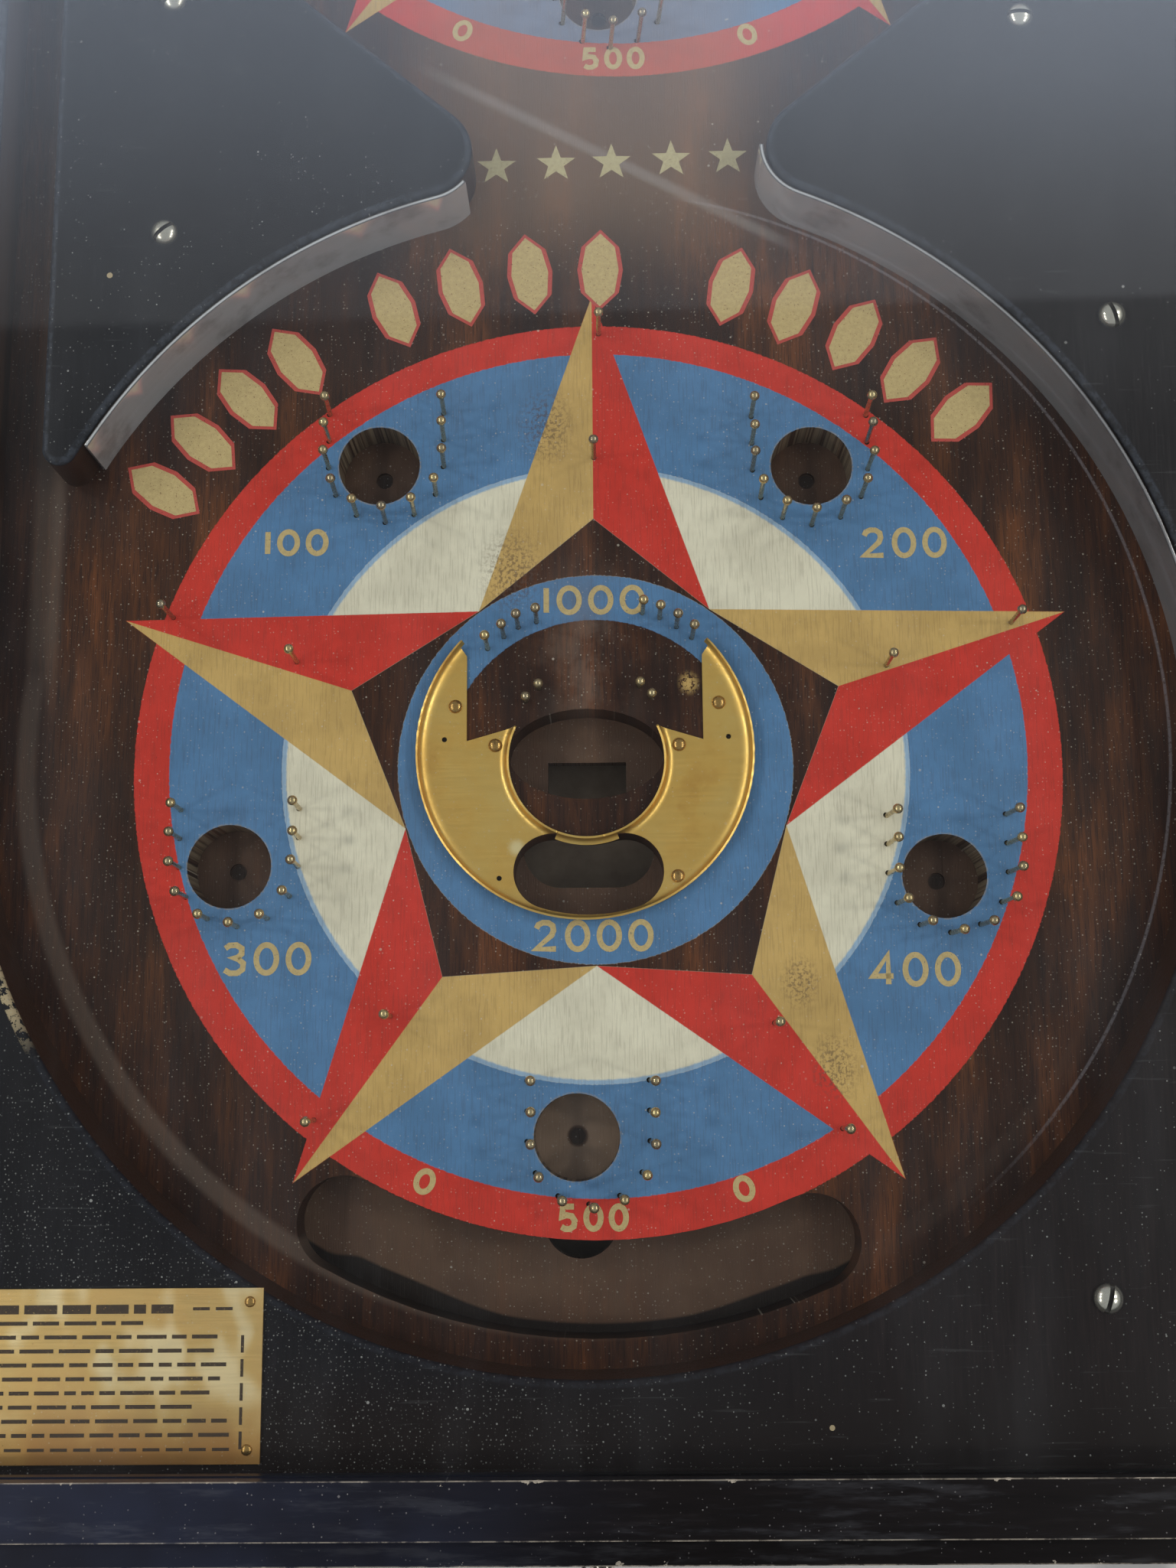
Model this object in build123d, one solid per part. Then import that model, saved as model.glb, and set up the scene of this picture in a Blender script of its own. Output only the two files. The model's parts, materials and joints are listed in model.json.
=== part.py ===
from build123d import *
from math import asin, atan, atan2, cos, degrees, hypot, pi, radians, sin, sqrt, tan
import os

# Tabletop pin game: a sloping walnut playfield in a black wooden cabinet under a hinged glass frame.
# Millimetres, +Z up, the player stands at -Y and +X is to the right.
# Deck coordinates: x to the right, v up the playfield, w square out of it, from the lower star's centre.

# Cabinet
cabinet_width = 432.0
wall = 19.0
apron = 25.0
arch_margin = 2.3
wall_top = 25.0
slope = 4.0
foot_height = 8.0
bottom_thickness = 9.5
room_under_lane = 8.546
block_size = 16.0
block_height = 19.2
back_block_height = 35.2
block_fit = 2.17

# Playfield and the raised black panels
board_thickness = 12.7
panel_height = 19.0
seam = 0.3
drain_r = 10.5
drain_peep = 6.0
strip_width = 22.6
return_lane = 16.7
lane_width = 18.5
panel_neck = 6.7
island_neck = 16.45
panel_shoulder = 19.75
waist_gap = 20.0
rim_v = 6.0
left_tip_angle = 104.9
left_tip_r = 14.3
right_tip_angle = 68.5
right_tip_r = 15.0
island_setback = 4.5
island_foot_r = 5.0
island_top_angle = 22.0
island_top_r = 7.0

# Steel bands that guard the panels' edges
band_thickness = 1.2
band_gap = 1.0
band_free_end = 149.2
arch_band_reach = 6.0
band_nose_left = -40.0
band_nose_right = 180.0
arch_band_blunt = 4.0

# Pockets, pins and the brass cups
# Hand-set places are given as the angle round the star and how far off its ring they lie
pocket_r = 12.0
pocket_inset = 66.0
pocket_spots = [(124.78, 4.8), (54.25, 4.4), (195.05, 2.2), (-18.23, -2.1), (266.76, -1.5)]
pin_ring_r = 17.0
# How far each pocket's fence of pins stands off the pocket's own centre
pin_ring_shifts = [(1.9, -0.5), (-0.4, -1.2), (2.6, -0.1), (1.0, 1.0), (3.2, -1.1)]
pin_leg_step = 8.3
pin_shank_r = 0.7
pin_head_r = 1.45
pin_height = 16.0
low_pin_height = 7.0
pin_depth = 6.0
hole_clearance = 0.05
outer_pins_inset = 44.0
outer_pin_spots = [(89.13, 3.7), (159.79, 2.9), (18.85, -0.1), (231.47, -1.2), (-56.56, -5.2)]
inner_pins_inset = 81.0
inner_pin_spots = [(89.81, 1.8), (159.91, 1.0), (18.90, -1.8), (230.59, 0.5), (-55.95, -2.4)]
gate_pins = [(-31.0, 35.0), (-26.3, 38.5), (-22.1, 41.3), (-16.8, 42.9),
             (14.0, 45.3), (19.1, 43.8), (23.9, 41.0), (28.3, 37.7)]
low_pins = [(-19.9, 19.4), (-16.1, 23.1), (13.0, 23.5), (16.3, 20.2)]
cup_nails = [(-40.2, 17.7), (-28.7, 6.2), (24.1, 6.0), (35.7, 18.2), (23.2, -32.0)]
cup_holes = [(-27.5, -32.2), (-43.3, 8.0), (38.3, 8.2)]
cup_centre = (-2.9, 4.1)
cup_r = 47.9
cup_lip_centre = (-2.5, 1.5)
cup_lip_r = 22.8
cup_horn_v = 35.5
cup_horn_half = 34.0
cup_horn_blunt = 3.0
cup_notch_v = 7.5
cup_lip_end_v = 11.5
cup_sheet = 0.8
cup_lip_height = 3.2
nail_head_r = 2.0
nail_head_height = 1.2
oval_centre = (-2.5, 3.7)
oval_half = (22.4, 13.2)
kidney_centre = (-2.1, 3.5)
kidney_r = 35.5
kidney_width = 21.6
kidney_half_angle = 17.4
trough_centre = (0.0, 1.0)
trough_inset = 25.9
trough_width = 26.0
trough_half_angle = 26.2
trough_turn = -2.5

# Shutter that holds the balls up and lets them fall
shutter_thickness = 5.0
shutter_gap = 0.5
shutter_margin = 20.0
shutter_reach = 18.0
shutter_room = 5.0
shutter_stroke = 22.0
kidney_drop = (38.0, 22.0)
kidney_drop_v = -26.0
kidney_neck = (23.0, 23.0)
kidney_neck_place = (-0.4, -11.5)
oval_drop = (40.0, 21.0)
oval_drop_v = 25.0
drain_x = -5.0
drop_r = 10.0
dimple_r = 2.5
dimple_depth = 1.2
tongue_half = 12.0
runner_width = 12.0
runner_lip = 5.0
runner_foot = 3.0
running_fit = 0.3

# Balls, tray and shooter lane
ball_r = 7.94
ball_count = 10
tray_thickness = 6.0
special_ball_place = 3
tray_left_w = -36.0
tray_right_w = -46.0
tray_room = 5.0
tray_bearer_width = 16.0
tray_bearer_insets = (36.0, 22.0)
guide_left_inset = 53.0
guide_right_inset = 33.0
guide_thickness = 8.0
guide_height = 10.0
divider_thickness = 6.0
gear_margin = 34.0
entry_inset = 42.0
entry_half = 9.5
entry_height = 18.0
lane_reach = 24.0
lane_slab = 8.0
lane_side_fit = 0.3
lane_bearer_width = 10.0
lane_bearer_insets = (60.0, 120.0)

# Plunger
plunger_stroke = 38.0
sleeve_r = 6.5
sleeve_tail = 8.0
rod_r = 4.0
housing_r = 9.0
housing_bore_r = 7.4
housing_reach = 38.0
housing_cap = 3.0
housing_proud = 1.0
flange_overlap = 0.5
flange_r = 19.0
flange_thickness = 2.5
knob_r = 14.0
knob_end_r = 7.7
knob_length = 24.0
# Shares of the knob's radius and of its length, from its end to its neck
knob_outline = [(0.86, 0.13), (1.0, 0.34), (0.9, 0.55), (0.55, 0.75), (0.55, 1.0)]
knob_gap = 2.5
washer_r = 7.2
tip_chamfer = 1.0
rod_seat = 10.0
spring_wire = 1.2
spring_coil_r = 5.7
spring_turns = 14

# Clearing button and lever
button_w = -31.5
button_rod_r = 3.5
button_head_r = 9.5
button_head_length = 8.0
button_crown = 4.0
# Shares of the button's radius and of its crown
button_outline = [(0.6, 0.1), (0.9, 0.5), (1.0, 1.0)]
button_stem = 18.5
bushing_r = 8.0
bushing_flange_r = 13.0
bushing_flange = 2.5
button_wire = 0.9
button_coil_r = 5.6
button_turns = 5.5
collar_r = 6.5
collar_length = 2.0
lever_x = 15.0
lever_inset = 18.0
lever_arm = 30.0
button_arm = 15.0
lever_thickness = 3.0
lever_w = -24.0
lever_eye_r = 6.5
lever_slot_fit = 0.35
bearing_fit = 0.15
post_r = 3.0
post_head_r = 5.0
post_head = 1.8
pin_r = 2.0
pin_proud = 1.0

# Glass frame and hinges
rail_width = 14.5
rail_height = 10.0
rail_setback = 8.3
glass_thickness = 2.5
groove_depth = 6.5
groove_fit = 0.2
groove_w = 3.0
hinge_pin_r = 1.2
hinge_knuckle_r = 2.8
hinge_leaf = 1.2
hinge_length = 50.0
hinge_inset = 86.0
hinge_parts = 5

# Instruction plate, screws and feet
plate_size = (101.6, 44.0, 0.8)
plate_inset = (7.4, 49.0)
plate_pin_inset = 3.5
screw_head_r = 3.85
screw_head_height = 2.9
screw_shank_r = 2.0
screw_depth = 8.0
screw_slot = (1.2, 1.3)
screw_turn = 7.0
island_screws = [(33.3, -21.9), (33.5, 53.0)]
right_screws = [(28.7, -50.9), (50.5, 44.0)]
apron_screw = (64.0, 44.9)
strip_screws = [-60.0, 60.0, 300.0]
arch_screw_insets = (47.0, 37.0, 21.0)
foot_r = 12.0
foot_taper = 1.2
foot_inset = 30.0
foot_recess = 3.0
cleat = 12.0

turn = radians(slope)
inner_x = cabinet_width / 2 - wall
shooter_x = inner_x - lane_width
lane_left_x = strip_width - inner_x
left_side_x = lane_left_x + return_lane
rim_r = (shooter_x - panel_neck - band_gap - band_thickness - lane_left_x) / 2
lower_centre = (lane_left_x + rim_r, rim_v)
upper_ring_r = (shooter_x - panel_shoulder - left_side_x - island_neck) / 2
waist_v = rim_v + rim_r
upper_star = (left_side_x + island_neck + upper_ring_r, waist_v + waist_gap + upper_ring_r)
arch_r = (inner_x - lane_left_x) / 2
arch_centre = (lane_left_x + arch_r, upper_star[1])
front_face_v = rim_v - rim_r - apron - wall
back_face_v = upper_star[1] + arch_r + arch_margin + wall
board_front_v = front_face_v + wall
stars = [(0.0, 0.0), upper_star]
pocket_ring_r = rim_r - pocket_inset
trough_r = rim_r - trough_inset
shutter_w = -board_thickness - shutter_gap
shutter_half = pocket_ring_r + shutter_margin
shutter_front_v = board_front_v + shutter_stroke + shutter_room
shutter_back_v = upper_star[1] + pocket_ring_r + shutter_reach
lever_pivot = (lever_x, board_front_v + lever_inset)
tray_front_v = board_front_v + tray_room
entry_v = board_front_v + entry_inset
lane_front_v = tray_front_v
lane_top_v = upper_star[1] + lane_reach
lane_floor_w = tray_right_w - running_fit
lane_rise = atan2(-lane_floor_w, lane_top_v - entry_v)
lane_x = (shooter_x + inner_x) / 2
lane_foot_w = lane_floor_w + (lane_front_v - entry_v) * tan(lane_rise) - lane_slab / cos(lane_rise)
bottom_top = foot_height + bottom_thickness
deck_height = bottom_top + room_under_lane - lane_front_v * sin(turn) - lane_foot_w * cos(turn)


def deck_y(v, w):
    # Distance towards the back of a deck point, before the origin is centred
    return v * cos(turn) - w * sin(turn)


def deck_z(v, w):
    return deck_height + v * sin(turn) + w * cos(turn)


front_y = deck_y(front_face_v, wall_top)
back_y = deck_y(back_face_v, wall_top)


# Lane frame: y up the shooter lane from the ball's place, z square out of its floor
def plunger_deck(y):
    # Deck v and w of a point on the plunger's axis, y along the lane from the ball's place
    return (entry_v + y * cos(lane_rise) - ball_r * sin(lane_rise),
            lane_floor_w + y * sin(lane_rise) + ball_r * cos(lane_rise))


tilt = turn + lane_rise
face_cross = (front_y - deck_y(*plunger_deck(0))) / cos(tilt)
wall_cross = face_cross + wall / cos(tilt)
housing_tail = face_cross - housing_reach
knob_back = housing_tail - housing_cap - knob_gap
knob_tip_y = knob_back - knob_length
knob_edge_y = deck_y(*plunger_deck(knob_tip_y)) - knob_end_r * sin(tilt)
origin_y = (knob_edge_y + back_y) / 2

deck = Location((0, -origin_y, deck_height), (slope, 0, 0))
lane = deck * Location((lane_x, entry_v, lane_floor_w), (degrees(lane_rise), 0, 0))


def front_v(w):
    # Where the front board's inner face stands along the deck at a height w
    return (front_y + wall + w * sin(turn)) / cos(turn)


def back_v(w):
    return (back_y - wall + w * sin(turn)) / cos(turn)


def block(x, y, z):
    # A box from its low and high edges along each axis
    return Pos(sum(x) / 2, sum(y) / 2, sum(z) / 2) * Box(x[1] - x[0], y[1] - y[0], z[1] - z[0])


def slab(face, low, high):
    # A flat piece of the face's outline between two heights
    return extrude(Pos(0, 0, low) * face, amount=high - low, dir=(0, 0, 1))


def disc(place, r, low, high):
    return Pos(place[0], place[1], (low + high) / 2) * Cylinder(r, high - low)


def turned(*points):
    # A turned piece about its own z axis from points of (radius, height)
    return revolve(Plane.XZ * make_face(Polyline(*points, close=True)), Axis.Z)


def polar(centre, r, angle):
    return (centre[0] + r * cos(radians(angle)), centre[1] + r * sin(radians(angle)))


def arc(centre, r, start, end):
    return CenterArc(centre, r, start, end - start)


def angle_at_x(centre, r, x):
    # Angle of the upper point of a circle at a given x
    return degrees(atan2(sqrt(r * r - (x - centre[0]) ** 2), x - centre[0]))


def arc_slot(centre, r, width, half_angle, middle):
    # A slot of even width bent round a centre, with round ends
    first = middle - half_angle
    last = middle + half_angle
    inner = r - width / 2
    outer = r + width / 2
    edges = [
        arc(centre, outer, first, last),
        ThreePointArc(polar(centre, outer, last),
                      polar(centre, r, last + degrees(width / 2 / r)),
                      polar(centre, inner, last)),
        arc(centre, inner, last, first),
        ThreePointArc(polar(centre, inner, first),
                      polar(centre, r, first - degrees(width / 2 / r)),
                      polar(centre, outer, first)),
    ]
    return make_face(edges)


def shift(point, star):
    return (point[0] + star[0], point[1] + star[1])


def round_corners(face, places, r):
    corners = [min(face.vertices(), key=lambda c: (c.X - x) ** 2 + (c.Y - y) ** 2) for x, y in places]
    return fillet(corners, r)


def upright_box(x, y, z):
    # A box in the cabinet's own upright frame, with y measured like deck_y
    return Pos(0, -origin_y, 0) * block(x, y, z)


def spots(ring_r, places):
    # Points round a star from their angles and how far off the ring they lie
    return [polar((0, 0), ring_r + extra, angle) for angle, extra in places]


pockets = spots(pocket_ring_r, pocket_spots)
star_pins = spots(rim_r - outer_pins_inset, outer_pin_spots)
star_pins += spots(rim_r - inner_pins_inset, inner_pin_spots)
panel_screw_places = [(left_side_x + x, waist_v + v) for x, v in island_screws]
panel_screw_places += [(shooter_x - x, waist_v + v) for x, v in right_screws]
panel_screw_places += [(inner_x - apron_screw[0], board_front_v + apron_screw[1])]
panel_screw_places += [(lane_left_x - strip_width / 2, v) for v in strip_screws]
screw_left, screw_right, screw_back = arch_screw_insets
panel_screw_places += [(x, back_face_v - wall - screw_back)
                       for x in (screw_left - inner_x, inner_x - screw_right)]
node = {}


def under_floor():
    # All that lies below the bottom board's upper face
    return upright_box((-inner_x, inner_x), (front_y, back_y), (-2 * deck_height, bottom_top))


def foot_places():
    return [(side * (cabinet_width / 2 - foot_inset), y - origin_y)
            for side in (-1, 1) for y in (front_y + foot_inset, back_y - foot_inset)]


# Cabinet
def cabinet():
    front_cut = front_y + wall
    back_cut = back_y - wall
    length = back_y - front_y
    tall = deck_z(back_face_v, wall_top) + wall
    top_cut = deck * block((-cabinet_width, cabinet_width), (-length, length), (wall_top, 2 * tall))
    half = cabinet_width / 2
    left = upright_box((-half, -inner_x), (front_cut, back_cut), (foot_height, tall))
    right = upright_box((inner_x, half), (front_cut, back_cut), (foot_height, tall))
    front = upright_box((-half, half), (front_y, front_cut), (foot_height, tall))
    back = upright_box((-half, half), (back_cut, back_y), (foot_height, tall))
    node["left_side"] = left - top_cut
    node["right_side"] = right - top_cut
    bore = lane * Pos(0, face_cross, ball_r) * Rot(90, 0, 0) * Cylinder(housing_r, 4 * wall)
    button_bore = deck * Pos(0, front_face_v, button_w) * Rot(90, 0, 0) * Cylinder(bushing_r, 4 * wall)
    node["front_panel"] = front - top_cut - bore - button_bore
    node["back_panel"] = back - top_cut
    node["bottom_board"] = upright_box((-inner_x, inner_x), (front_cut, back_cut),
                                       (foot_height, bottom_top))
    node["bottom_board"] -= [disc((x, y), screw_shank_r, foot_height, bottom_top) for x, y in foot_places()]
    blocks = []
    for x0 in (-inner_x, inner_x - block_size):
        for y0 in (front_cut, back_cut - block_size):
            tall = back_block_height if y0 > front_cut else block_height
            if x0 > 0 and y0 == front_cut:
                tall = room_under_lane - block_fit
            blocks.append(upright_box((x0, x0 + block_size), (y0, y0 + block_size),
                                      (bottom_top, bottom_top + tall)))
    node["corner_blocks"] = Compound(blocks)


cabinet()


# Playfield board with its pockets, cups' openings, trough and pin holes
def pin_places():
    tall = []
    for star in stars:
        for pocket, offset in zip(pockets, pin_ring_shifts):
            centre = shift(shift(pocket, offset), star)
            for angle in (-150, -120, -90, -60, -30):
                tall.append(polar(centre, pin_ring_r, angle))
            for side in (-1, 1):
                for step in range(3):
                    tall.append((centre[0] + side * pin_ring_r, centre[1] + step * pin_leg_step))
        tall += [shift(place, star) for place in star_pins + gate_pins]
    low = [shift(place, star) for star in stars for place in low_pins]
    return tall, low


def openings_of(star):
    faces = [Pos(*shift(pocket, star), 0) * Circle(pocket_r) for pocket in pockets]
    faces.append(Pos(*shift(oval_centre, star), 0) * Ellipse(*oval_half))
    faces.append(arc_slot(shift(kidney_centre, star), kidney_r, kidney_width, kidney_half_angle, -90))
    return faces


def playfield():
    low_v = front_v(0) + seam
    high_v = back_v(-board_thickness) - seam
    outline = Polyline((-inner_x + seam, low_v), (shooter_x, low_v), (shooter_x, lane_top_v),
                       (inner_x - seam, lane_top_v), (inner_x - seam, high_v), (-inner_x + seam, high_v),
                       close=True)
    board = slab(make_face(outline), -board_thickness, 0)
    for star in stars:
        for face in openings_of(star):
            board -= slab(face, -board_thickness, 0)
    trough = arc_slot(trough_centre, trough_r, trough_width, trough_half_angle, -90 + trough_turn)
    board -= slab(trough, -board_thickness, 0)
    tall, low = pin_places()
    holes = [disc(place, pin_shank_r + hole_clearance, -pin_depth, 0) for place in tall + low]
    nails = [shift(place, star) for star in stars for place in cup_nails]
    holes += [disc(place, pin_shank_r + hole_clearance, -pin_depth, 0) for place in nails]
    holes += [disc(place, screw_shank_r + hole_clearance, -screw_depth, 0) for place in panel_screw_places]
    board -= holes
    node["playfield_board"] = deck * board
    shank = []
    for place in tall:
        shank.append(nail(place, 0, pin_height, pin_head_r))
    for place in low:
        shank.append(nail(place, 0, low_pin_height, pin_head_r))
    node["playfield_pins"] = deck * Compound(shank)
    top = cup_sheet + nail_head_height
    node["cup_nails"] = deck * Compound([nail(place, cup_sheet, top, nail_head_r) for place in nails])


def nail(place, seat, top, head_r):
    # A round-headed nail driven into the board, its head's top at the given height
    low = -pin_depth
    neck = max(seat, top - head_r)
    points = [(0, low), (pin_shank_r, low), (pin_shank_r, neck), (head_r, neck)]
    points += [(head_r * cos(a), neck + (top - neck) * sin(a)) for a in (pi / 6, pi / 3)]
    return Pos(*place, 0) * turned(*points, (0, top))


playfield()


# Raised black panels, their bands and screws
def tangent_between(tip, tip_r, star_centre, star_r, side):
    # Contact points of the straight edge that runs from the waist's round tip to the upper circle
    gap = hypot(star_centre[0] - tip[0], star_centre[1] - tip[1])
    course = degrees(atan2(star_centre[1] - tip[1], star_centre[0] - tip[0]))
    normal = course - side * (90 - degrees(asin((tip_r + star_r) / gap)))
    return normal, polar(tip, tip_r, normal), polar(star_centre, star_r, normal + 180)


right_panel_r = rim_r + band_thickness + band_gap
island_lower_r = rim_r - island_setback
left_tip = polar(lower_centre, island_lower_r + left_tip_r, left_tip_angle)
right_tip = polar(lower_centre, right_panel_r + right_tip_r, right_tip_angle)
island_outer_r = arch_centre[0] - left_side_x
panel_outer_r = shooter_x - arch_centre[0]
front_edge_v = front_v(panel_height) + seam
back_edge_v = back_v(0) - seam


def left_island_face():
    normal, first, last = tangent_between(left_tip, left_tip_r, upper_star, upper_ring_r, 1)
    foot_angle = angle_at_x(lower_centre, island_lower_r, left_side_x)
    foot = polar(lower_centre, island_lower_r, foot_angle)
    top_angle = 180 - island_top_angle
    outer_top = polar(arch_centre, island_outer_r, top_angle)
    inner_top = polar(upper_star, upper_ring_r, top_angle)
    edges = [
        arc(lower_centre, island_lower_r, foot_angle, left_tip_angle),
        arc(left_tip, left_tip_r, left_tip_angle - 180, normal),
        Line(first, last),
        arc(upper_star, upper_ring_r, normal + 180, top_angle),
        Line(inner_top, outer_top),
        arc(arch_centre, island_outer_r, top_angle, 180),
        Line((left_side_x, arch_centre[1]), foot),
    ]
    face = round_corners(make_face(edges), [foot], island_foot_r)
    return round_corners(face, [inner_top, outer_top], island_top_r)


def right_panel_face():
    normal, first, last = tangent_between(right_tip, right_tip_r, upper_star, upper_ring_r, -1)
    inner_top = polar(upper_star, upper_ring_r, island_top_angle)
    outer_top = polar(arch_centre, panel_outer_r, island_top_angle)
    start_angle = degrees(asin(seam / right_panel_r))
    start = polar(lower_centre, right_panel_r, start_angle)
    edges = [
        arc(lower_centre, right_panel_r, start_angle, right_tip_angle),
        arc(right_tip, right_tip_r, right_tip_angle + 180, normal),
        Line(first, last),
        arc(upper_star, upper_ring_r, normal + 180, island_top_angle + 360),
        Line(inner_top, outer_top),
        arc(arch_centre, panel_outer_r, island_top_angle, 0),
        Polyline((shooter_x, arch_centre[1]), (shooter_x, start[1]), start),
    ]
    face = make_face(edges)
    return round_corners(face, [inner_top, outer_top], island_top_r)


def lower_panel_face():
    left_x = -inner_x + seam
    edges = [
        arc(lower_centre, rim_r, 180, 360),
        Polyline(polar(lower_centre, rim_r, 0), (shooter_x, rim_v), (shooter_x, front_edge_v),
                 (left_x, front_edge_v), (left_x, rim_v), polar(lower_centre, rim_r, 180)),
    ]
    return make_face(edges)


def top_arch_face():
    right_x = inner_x - seam
    flat = arch_r - arch_band_blunt
    right_angle = degrees(atan2(sqrt(arch_r ** 2 - flat ** 2), flat))
    end = polar(arch_centre, arch_r, right_angle)
    left_x = -inner_x + seam
    edges = [
        arc(arch_centre, arch_r, right_angle, 180),
        Polyline(polar(arch_centre, arch_r, 180), (left_x, arch_centre[1]), (left_x, back_edge_v),
                 (right_x, back_edge_v), (right_x, end[1]), end),
    ]
    return make_face(edges)


def band(path):
    # A steel strip on edge along a path
    return slab(make_face(path), 0, panel_height)


def bands():
    inner = island_lower_r - band_gap - band_thickness
    outer = inner + band_thickness
    tip_r = left_tip_r + band_gap
    last = left_tip_angle
    nose = band_nose_left
    edges = [
        arc(lower_centre, inner, band_free_end, last),
        arc(left_tip, tip_r + band_thickness, last - 180, nose),
        Line(polar(left_tip, tip_r + band_thickness, nose), polar(left_tip, tip_r, nose)),
        arc(left_tip, tip_r, nose, last - 180),
        arc(lower_centre, outer, last, band_free_end),
        Line(polar(lower_centre, outer, band_free_end), polar(lower_centre, inner, band_free_end)),
    ]
    node["left_band"] = deck * band(edges)
    start = degrees(asin(seam / right_panel_r))
    tip_r = right_tip_r + band_gap
    last = right_tip_angle
    nose = band_nose_right
    edges = [
        arc(lower_centre, rim_r, start, last),
        arc(right_tip, tip_r + band_thickness, last + 180, nose),
        Line(polar(right_tip, tip_r + band_thickness, nose), polar(right_tip, tip_r, nose)),
        arc(right_tip, tip_r, nose, last + 180),
        arc(lower_centre, rim_r + band_thickness, last, start),
        Line(polar(lower_centre, rim_r + band_thickness, start), polar(lower_centre, rim_r, start)),
    ]
    node["right_band"] = deck * band(edges)
    outer = arch_r - seam
    inner = outer - band_thickness
    start = arch_band_reach
    last = 180 - arch_band_reach
    edges = [
        arc(arch_centre, outer, start, last),
        Line(polar(arch_centre, outer, last), polar(arch_centre, inner, last)),
        arc(arch_centre, inner, last, start),
        Line(polar(arch_centre, inner, start), polar(arch_centre, outer, start)),
    ]
    node["arch_band"] = deck * band(edges)


def screw(place, seat):
    # A slotted round-head screw standing on the given height
    crown = [(screw_head_r * cos(a), seat + screw_head_height * sin(a)) for a in (pi / 6, pi / 3)]
    head = turned((0, seat), (screw_head_r, seat), *crown, (0, seat + screw_head_height))
    shank = disc((0, 0), screw_shank_r, -screw_depth, seat)
    width, depth = screw_slot
    cut = block((-screw_head_r, screw_head_r), (-width / 2, width / 2),
                (seat + screw_head_height - depth, seat + screw_head_height))
    return Pos(*place, 0) * Rot(0, 0, screw_turn * place[0] % 180) * (head + shank - cut)


def panels():
    holes = [disc(place, screw_shank_r + hole_clearance, 0, panel_height) for place in panel_screw_places]
    faces = {"lower_panel": lower_panel_face(), "top_arch": top_arch_face(),
             "left_island": left_island_face(), "right_panel": right_panel_face()}
    strip = Polyline((-inner_x + seam, rim_v), (lane_left_x, rim_v), (lane_left_x, arch_centre[1]),
                     (-inner_x + seam, arch_centre[1]), close=True)
    faces["left_strip"] = make_face(strip)
    for name, face in faces.items():
        node[name] = deck * (slab(face, 0, panel_height) - holes)
    node["panel_screws"] = deck * Compound([screw(place, panel_height) for place in panel_screw_places])
    width, depth, thickness = plate_size
    x1 = plate_inset[0] - inner_x + width
    v1 = board_front_v + plate_inset[1]
    plate = block((x1 - width, x1), (v1 - depth, v1), (panel_height, panel_height + thickness))
    corners = [(x, v) for x in (x1 - width + plate_pin_inset, x1 - plate_pin_inset)
               for v in (v1 - depth + plate_pin_inset, v1 - plate_pin_inset)]
    holes = [disc(place, pin_shank_r + hole_clearance, panel_height - pin_depth, panel_height + thickness)
             for place in corners]
    node["lower_panel"] = node["lower_panel"] - [deck * hole for hole in holes]
    node["instruction_plate"] = deck * (plate - holes)
    pin = Pos(0, 0, panel_height) * nail((0, 0), thickness, thickness + pin_head_r / 2, pin_head_r)
    node["plate_pins"] = deck * Compound([Pos(*place, 0) * pin for place in corners])


bands()
panels()


# Brass cups: a crescent of sheet with raised lips round the middle openings
def cup_outline():
    x, v = cup_centre
    horn = cup_horn_v - v
    outer_x = sqrt(cup_r ** 2 - horn ** 2)
    lip_x, lip_v = cup_lip_centre
    lip_end = sqrt(cup_lip_r ** 2 - (cup_lip_end_v - lip_v) ** 2)
    horn_foot = cup_horn_v - cup_horn_blunt
    start = degrees(atan2(horn, -outer_x)) % 360
    end = degrees(atan2(horn, outer_x)) + 360
    lip_start = degrees(atan2(cup_lip_end_v - lip_v, lip_end))
    return [
        arc(cup_centre, cup_r, start, end),
        Polyline((x + outer_x, cup_horn_v), (x + cup_horn_half, horn_foot), (x + cup_horn_half, cup_notch_v),
                 (lip_x + lip_end, cup_lip_end_v)),
        arc(cup_lip_centre, cup_lip_r, lip_start, -180 - lip_start),
        Polyline((lip_x - lip_end, cup_lip_end_v), (x - cup_horn_half, cup_notch_v),
                 (x - cup_horn_half, horn_foot), (x - outer_x, cup_horn_v)),
    ]


def cup(star):
    sheet = slab(make_face(cup_outline()), 0, cup_sheet)
    horn_angle = degrees(atan2(cup_horn_v - cup_centre[1], cup_horn_half))
    lip_angle = degrees(atan2(cup_lip_end_v - cup_lip_centre[1], cup_lip_r))
    outer_lip = ring_sector(cup_centre, cup_r - cup_sheet, cup_r, 180 - horn_angle, 360 + horn_angle)
    inner_lip = ring_sector(cup_lip_centre, cup_lip_r, cup_lip_r + cup_sheet, 180 - lip_angle,
                            360 + lip_angle)
    sheet += slab(outer_lip, 0, cup_lip_height)
    sheet += slab(inner_lip, 0, cup_lip_height)
    sheet -= slab(arc_slot(kidney_centre, kidney_r, kidney_width, kidney_half_angle, -90), 0, cup_lip_height)
    sheet -= [disc(place, pin_shank_r + hole_clearance, 0, cup_lip_height) for place in cup_nails + cup_holes]
    return deck * Pos(*star, 0) * sheet


def ring_sector(centre, inner, outer, start, end):
    return make_face([
        arc(centre, outer, start, end),
        Line(polar(centre, outer, end), polar(centre, inner, end)),
        arc(centre, inner, end, start),
        Line(polar(centre, inner, start), polar(centre, outer, start)),
    ])


node["lower_cup"] = cup(stars[0])
node["upper_cup"] = cup(stars[1])


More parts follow.
